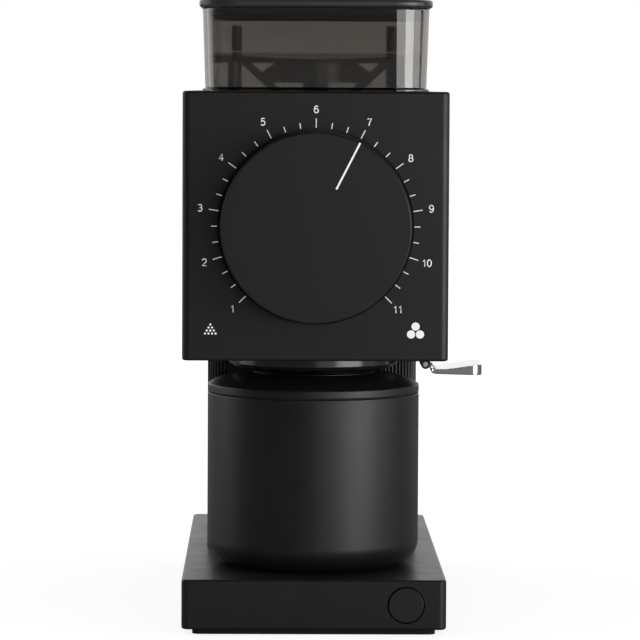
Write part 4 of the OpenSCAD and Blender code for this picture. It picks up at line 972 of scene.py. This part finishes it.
class GRINDER_OT_cup(bpy.types.Operator):
    """Grounds cup with a large radius at its foot, and its domed lid with a collar"""

    bl_idname = "grinder.build_cup"
    bl_label = "Cup"

    def execute(self, context):
        s = settings("grinder_cup")
        radius, low, rim = (CUP_HI[0] - CUP_LO[0]) / 2, CUP_LO[2], CUP_HI[2]
        inner = radius - s.wall
        profile = fillet(
            [(0, low), (radius, low), (radius, rim), (inner, rim), (inner, low + s.wall),
             (0, low + s.wall)],
            [0, s.foot, 0.5, 0.5, s.foot - s.wall, 0], 16,
        )
        cup = new_object("grounds_cup_body", [("poles", turned(profile, (0, CUP_Y), "z", 256))])
        dress(cup, "grounds_cup", "cup_coat", "cup_body")

        # The lid's dome is an arc whose centre lies below the collar's edge, and the hollow
        # under it is the same arc one wall lower. The skirt hangs into the cup.
        lo, hi = cad_box("cup_lid")
        top, seat, skirt = hi[2], rim + 0.4, lo[2]
        lid_wall, play = 1.8, 0.2
        skirt_out = inner - play
        skirt_in = skirt_out - lid_wall
        centre = top - s.collar_rise - s.dome
        over = np.linspace(0, radius - s.collar, 25)
        under = np.linspace(skirt_in - s.collar - 0.3, 0, 16)
        dome = np.stack([s.collar + over, centre + np.sqrt(s.dome**2 - over**2)], 1)
        hollow = np.stack(
            [s.collar + under, centre + np.sqrt((s.dome - lid_wall) ** 2 - under**2)], 1
        )
        shape = [(s.opening, top), (s.collar, top), *dome, (radius, seat),
                 (skirt_out, seat), (skirt_out, skirt), (skirt_in, skirt), *hollow,
                 (s.opening, hollow[-1][1]), (s.opening, top)]
        soft = [0, 0.1, *[0] * (len(dome) - 1), s.dome_edge, 0.3,
                0, 0.3, 0.3, *[0] * (len(hollow) + 2)]
        lid = new_object(
            "grounds_cup_lid",
            [("poles", turned(fillet(shape, soft, 8), (0, CUP_Y), "z", 256))], angle=28,
        )
        dress(lid, "grounds_cup", "cup_coat", "cup_lid")
        return {"FINISHED"}


class GRINDER_OT_lever(bpy.types.Operator):
    """Polished lever: a blade that thickens to its tip, its root, and the arm to the chute"""

    bl_idname = "grinder.build_lever"
    bl_label = "Lever"

    def execute(self, context):
        s = settings("grinder_lever")
        lo, hi = cad_box("knocker_lever")
        pin_lo, pin_hi = cad_box("lever_pin")
        pin_x, middle, pin_z = (pin_lo + pin_hi) / 2
        pin_r = (pin_hi[0] - pin_lo[0]) / 2
        root, tip, half = pin_x + s.root, hi[0], (hi[1] - lo[1]) / 2
        # Stations along the blade: closer together where the plan rounds off at the tip
        shoulder = tip - s.tip_round
        along = np.concatenate([
            np.linspace(root, shoulder, 30)[:-1],
            shoulder + s.tip_round * np.sin(quarter(0, 12)),
        ])
        past = np.maximum(along - shoulder, 0)
        wide = half - s.tip_round + np.sqrt(np.maximum(s.tip_round**2 - past**2, 0.01))
        share = (along - root) / (tip - root)
        under = pin_z + np.interp(share, [0, 0.08, 1], [-3.4, -3.8, -4.3])
        top = pin_z + np.interp(
            share, [0, 0.15, 0.3, 0.5, 0.75, 1], [-1.55, -1.75, -1.7, -1.2, -0.4, 0.1]
        )
        end_round, end_inset, lean_run = 0.8, 0.7, 6
        end = np.clip((tip - along) / end_round, 0, 1)
        ease = end_inset * (1 - np.sqrt(1 - (1 - end) ** 2))
        rows = []
        for x, w, low, high, inset in zip(along, wide, under, top, ease):
            ring = round_rect(2 * w - 2 * inset, high - low - 2 * inset, 0.25, 4)
            # The top face rises towards the back, from nothing at the root
            lean = s.lean * (ring[:, 0] + w) * min(1, (x - root) / lean_run)
            height = ring[:, 1] + (low + high) / 2 + np.where(ring[:, 1] > 0, lean, 0)
            rows.append(np.column_stack([np.full(len(ring), x), ring[:, 0] + middle, height]))

        near, far = middle - s.arm_width / 2, middle + s.arm_width / 2
        bore, arm_t, step = pin_r + 0.05, 2.5, 1
        tube = fillet([(bore, near), (s.barrel, near), (s.barrel, far), (bore, far), (bore, near)],
                      [0, 0.2, 0.2, 0, 0], 3)
        bridge = block((pin_x + 1.3, near, pin_z - 1.7), (root + 0.5, far, pin_z - 0.1))
        upright = block((pin_x - s.barrel, near + step, pin_z + 0.9),
                        (pin_x + 0.7, far - step, hi[2]))
        arm = block((lo[0], near + step, hi[2] - arm_t), (pin_x - s.barrel, far - step, hi[2]))
        lever = new_object("knock_lever", [
            ("capped", np.array(rows)), ("poles", turned(tube, (pin_x, pin_z), "y", 40)),
            ("capped", bridge), ("capped", upright), ("capped", arm),
        ])
        dress(lever, "lever", "chrome", "knocker_lever")
        return {"FINISHED"}


class GRINDER_OT_hopper(bpy.types.Operator):
    """Clear bin that widens a little to its top, and its lid with a skirt"""

    bl_idname = "grinder.build_hopper"
    bl_label = "Hopper"

    def execute(self, context):
        s = settings("grinder_hopper")
        low, high = BIN_LO[2], BIN_HI[2]
        foot_w, foot_l, _ = BIN_HI - BIN_LO - 2 * s.flange_width

        def wall(depth, z):
            """Inset of a wall face that lies depth inside the bin's outer face, at height z."""
            return depth - s.flare * (z - low) / (high - low)

        flange_top = low + s.flange
        outer = fillet(
            [(s.wall, low), (-s.flange_width, low), (-s.flange_width, flange_top),
             (wall(0, flange_top), flange_top), (wall(0, high), high),
             (wall(s.wall, high), high), (wall(s.wall, low), low)],
            [0, 0.2, 0.2, 0.6, 0.45, 0.45, 0], 5,
        )
        grid = inset_rings(foot_w, foot_l, s.corner, outer[:-1], (0, HOPPER_Y), 16)
        clear_bin = new_object("hopper_bin_clear", [("ring", grid)], angle=40)
        dress(clear_bin, "housing", "smoke_clear", "hopper_bin")

        width, length, _ = LID_HI - LID_LO
        overhang = (width - foot_w) / 2 - s.flare
        top, bottom, skirt_foot = LID_HI[2], LID_HI[2] - s.lid, LID_LO[2]
        skirt_out = overhang + s.wall + s.seal_gap
        skirt_in = skirt_out + s.skirt
        # Both outer faces are flat inside these insets, and one face each closes them
        flat_top, flat_under = 12, 20
        outline = fillet(
            [(flat_top, top), (0, top), (0, bottom), (skirt_out, bottom), (skirt_out, skirt_foot),
             (skirt_in, skirt_foot), (skirt_in, bottom), (flat_under, bottom)],
            [0, s.lid_edge, s.lid_edge, 0.3, 0.3, 0.3, 0.3, 0], 6,
        )
        corner = s.corner + s.flare + overhang
        grid = inset_rings(width, length, corner, outline, (0, HOPPER_Y), 16)
        lid = new_object("hopper_lid_plate", [("capped", grid)], angle=40)
        dress(lid, "hopper_top", "lid_plastic", "hopper_lid")
        return {"FINISHED"}


class GRINDER_OT_frame_finishes(bpy.types.Operator):
    """Gives every CAD node that stays in view the finish of its own slot"""

    bl_idname = "grinder.finish_frame"
    bl_label = "Frame finishes"

    def execute(self, context):
        slots = {p["node"]: p["material_slot"] for p in frame["record"]["subparts"]}
        for name, node in frame["nodes"].items():
            if node.hide_render:
                continue
            node.data.materials.clear()
            node.data.materials.append(finish_of(slots[name]))
        return {"FINISHED"}


# ---- Stage ----


def ray_switch(tree, lit, mirrored, seen):
    """Output of a shader that depends on the ray: seen for the camera and through clear walls,
    mirrored in glossy faces, and lit for all other light."""
    rays = add_node(tree, "ShaderNodeLightPath").outputs
    indirect = add_node(
        tree, "ShaderNodeMixShader",
        {0: rays["Is Glossy Ray"], 1: lit.outputs[0], 2: mirrored.outputs[0]},
    )
    direct = add_node(
        tree, "ShaderNodeMath",
        {0: rays["Is Camera Ray"], 1: rays["Is Transmission Ray"]}, operation="MAXIMUM",
    )
    chosen = add_node(
        tree, "ShaderNodeMixShader",
        {0: direct.outputs[0], 1: indirect.outputs[0], 2: seen.outputs[0]},
    )
    return chosen.outputs[0]


def place_camera(scene, s):
    """Level camera that is pitched, turned and leaned by the stage's angles."""
    data = bpy.data.cameras.new("camera")
    data.lens, data.sensor_width = s.lens, 36.0
    data.clip_start, data.clip_end = 0.05, 30.0
    camera = bpy.data.objects.new("camera", data)
    camera.location = s.camera_place
    level = Euler((math.pi / 2 - s.camera_pitch, 0.0, -s.camera_yaw)).to_matrix()
    camera.rotation_euler = (level @ Matrix.Rotation(s.camera_roll, 3, "Z")).to_euler()
    scene.collection.objects.link(camera)
    scene.camera = camera


def make_room(scene, s):
    """White surroundings. Glossy faces mirror a room that is dark in front and bright behind."""
    world = bpy.data.worlds.new("studio")
    world.use_nodes = True
    tree = world.node_tree
    tree.nodes.clear()
    direction = add_node(tree, "ShaderNodeTexCoord").outputs["Generated"]
    depth = add_node(tree, "ShaderNodeSeparateXYZ", {"Vector": direction}).outputs["Y"]
    gloss = add_node(
        tree, "ShaderNodeMapRange",
        {"Value": depth, "From Min": 0.1, "From Max": 0.9,
         "To Min": 0.0, "To Max": s.mirrored_light},
    ).outputs["Result"]
    white = (1, 1, 1, 1)
    room = add_node(
        tree, "ShaderNodeBackground", {"Color": (*s.room, 1), "Strength": s.room_light},
    )
    mirror = add_node(tree, "ShaderNodeBackground", {"Color": white, "Strength": gloss})
    backdrop = add_node(tree, "ShaderNodeBackground", {"Color": white, "Strength": 1.0})
    shown = ray_switch(tree, room, mirror, backdrop)
    add_node(tree, "ShaderNodeOutputWorld", {"Surface": shown})
    scene.world = world


def lay_floor(s):
    """Pale floor. To the camera it fades to white half a metre from the grinder, and in the
    grinder's own reflections it is dim, as a studio's table is small."""
    half = 4000.0
    corners = [[[-half, -half, 0], [half, -half, 0]], [[-half, half, 0], [half, half, 0]]]
    floor = new_object("floor", [("sheet", np.array(corners))])
    flat, tree, place = new_material("pale_floor", tuple(s.floor))
    distance = add_node(tree, "ShaderNodeVectorMath", {0: place}, operation="LENGTH")
    fade = add_node(
        tree, "ShaderNodeMapRange",
        {"Value": distance.outputs["Value"], "From Min": 0.2, "From Max": 0.6,
         "To Min": 0.86, "To Max": 1.0},
    ).outputs["Result"]
    matte = add_node(tree, "ShaderNodeBsdfDiffuse", {"Color": (*s.floor, 1)})
    faint = add_node(tree, "ShaderNodeBsdfDiffuse", {"Color": (0.2, 0.2, 0.2, 1)})
    glow = add_node(tree, "ShaderNodeEmission", {"Color": (1, 1, 1, 1), "Strength": fade})
    white = add_node(tree, "ShaderNodeAddShader", {0: faint.outputs[0], 1: glow.outputs[0]})
    shown = ray_switch(tree, matte, faint, white)
    add_node(tree, "ShaderNodeOutputMaterial", {"Surface": shown})
    floor.data.materials.append(flat)


def soft_lamp(name, place, aim, size, power):
    """Softbox of size (width, height) at place, turned to aim."""
    data = bpy.data.lights.new(name, "AREA")
    data.shape = "RECTANGLE"
    data.size, data.size_y = size
    data.energy = power
    lamp = bpy.data.objects.new(name, data)
    lamp.location = place
    lamp.rotation_euler = (Vector(aim) - Vector(place)).to_track_quat("-Z", "Y").to_euler()
    bpy.context.scene.collection.objects.link(lamp)


def hang_lamps():
    """A large softbox on the left behind, a long one bent round the right side and brightest in
    its middle, and a low card that the lever's tip mirrors."""
    head_y, ring, ring_height = -0.06, 1.5, 0.22
    soft_lamp("left", (-1.2, 0.25, 0.4), (0.0, head_y, 0.14), (0.7, 0.9), 2.3)
    for name, azimuth, power in (
        ("right_front", 19, 2.5), ("right_middle", 49, 6.5), ("right_side", 79, 2.6),
    ):
        turn = math.radians(azimuth)
        place = (ring * math.sin(turn), head_y - ring * math.cos(turn), ring_height)
        soft_lamp(name, place, (0.0, head_y, ring_height), (0.804, 0.3), power)
    soft_lamp("right_low", (0.9, -0.85, 0.04), (0.06, head_y, 0.04), (0.8, 0.08), 1.3)


class GRINDER_OT_stage(bpy.types.Operator):
    """White room, pale floor, soft lamps and the camera"""

    bl_idname = "grinder.build_stage"
    bl_label = "Stage"

    def execute(self, context):
        s = context.scene.grinder_stage
        place_camera(context.scene, s)
        make_room(context.scene, s)
        lay_floor(s)
        hang_lamps()
        context.scene.view_settings.view_transform = "Standard"
        return {"FINISHED"}


# ---- Panel and running ----


OPERATORS = (
    GRINDER_OT_stage,
    GRINDER_OT_base,
    GRINDER_OT_column,
    GRINDER_OT_head,
    GRINDER_OT_scale,
    GRINDER_OT_dial,
    GRINDER_OT_spout,
    GRINDER_OT_cup,
    GRINDER_OT_lever,
    GRINDER_OT_hopper,
    GRINDER_OT_frame_finishes,
)


class GRINDER_PT_panel(bpy.types.Panel):
    """Lists the grinder's operators and their settings"""

    bl_idname = "GRINDER_PT_panel"
    bl_label = "Burr Grinder"
    bl_space_type = "VIEW_3D"
    bl_region_type = "UI"
    bl_category = "Grinder"

    def draw(self, context):
        for operator in OPERATORS:
            self.layout.operator(operator.bl_idname)
        for name in GROUPS:
            group = getattr(context.scene, name)
            box = self.layout.box()
            for prop in own_props(group):
                box.prop(group, prop.identifier)


def register():
    """Registers the settings, operators and panel."""
    for name, group in GROUPS.items():
        bpy.utils.register_class(group)
        setattr(bpy.types.Scene, name, PointerProperty(type=group))
    for operator in OPERATORS:
        bpy.utils.register_class(operator)
    bpy.utils.register_class(GRINDER_PT_panel)


def unregister():
    """Removes what register added."""
    bpy.utils.unregister_class(GRINDER_PT_panel)
    for operator in reversed(OPERATORS):
        bpy.utils.unregister_class(operator)
    for name, group in reversed(GROUPS.items()):
        delattr(bpy.types.Scene, name)
        bpy.utils.unregister_class(group)


def main():
    """Builds everything in order."""
    register()
    for operator in OPERATORS:
        family, action = operator.bl_idname.split(".")
        if getattr(getattr(bpy.ops, family), action)() != {"FINISHED"}:
            raise RuntimeError(f"{operator.bl_label} was not built")


if __name__ == "__main__":
    main()
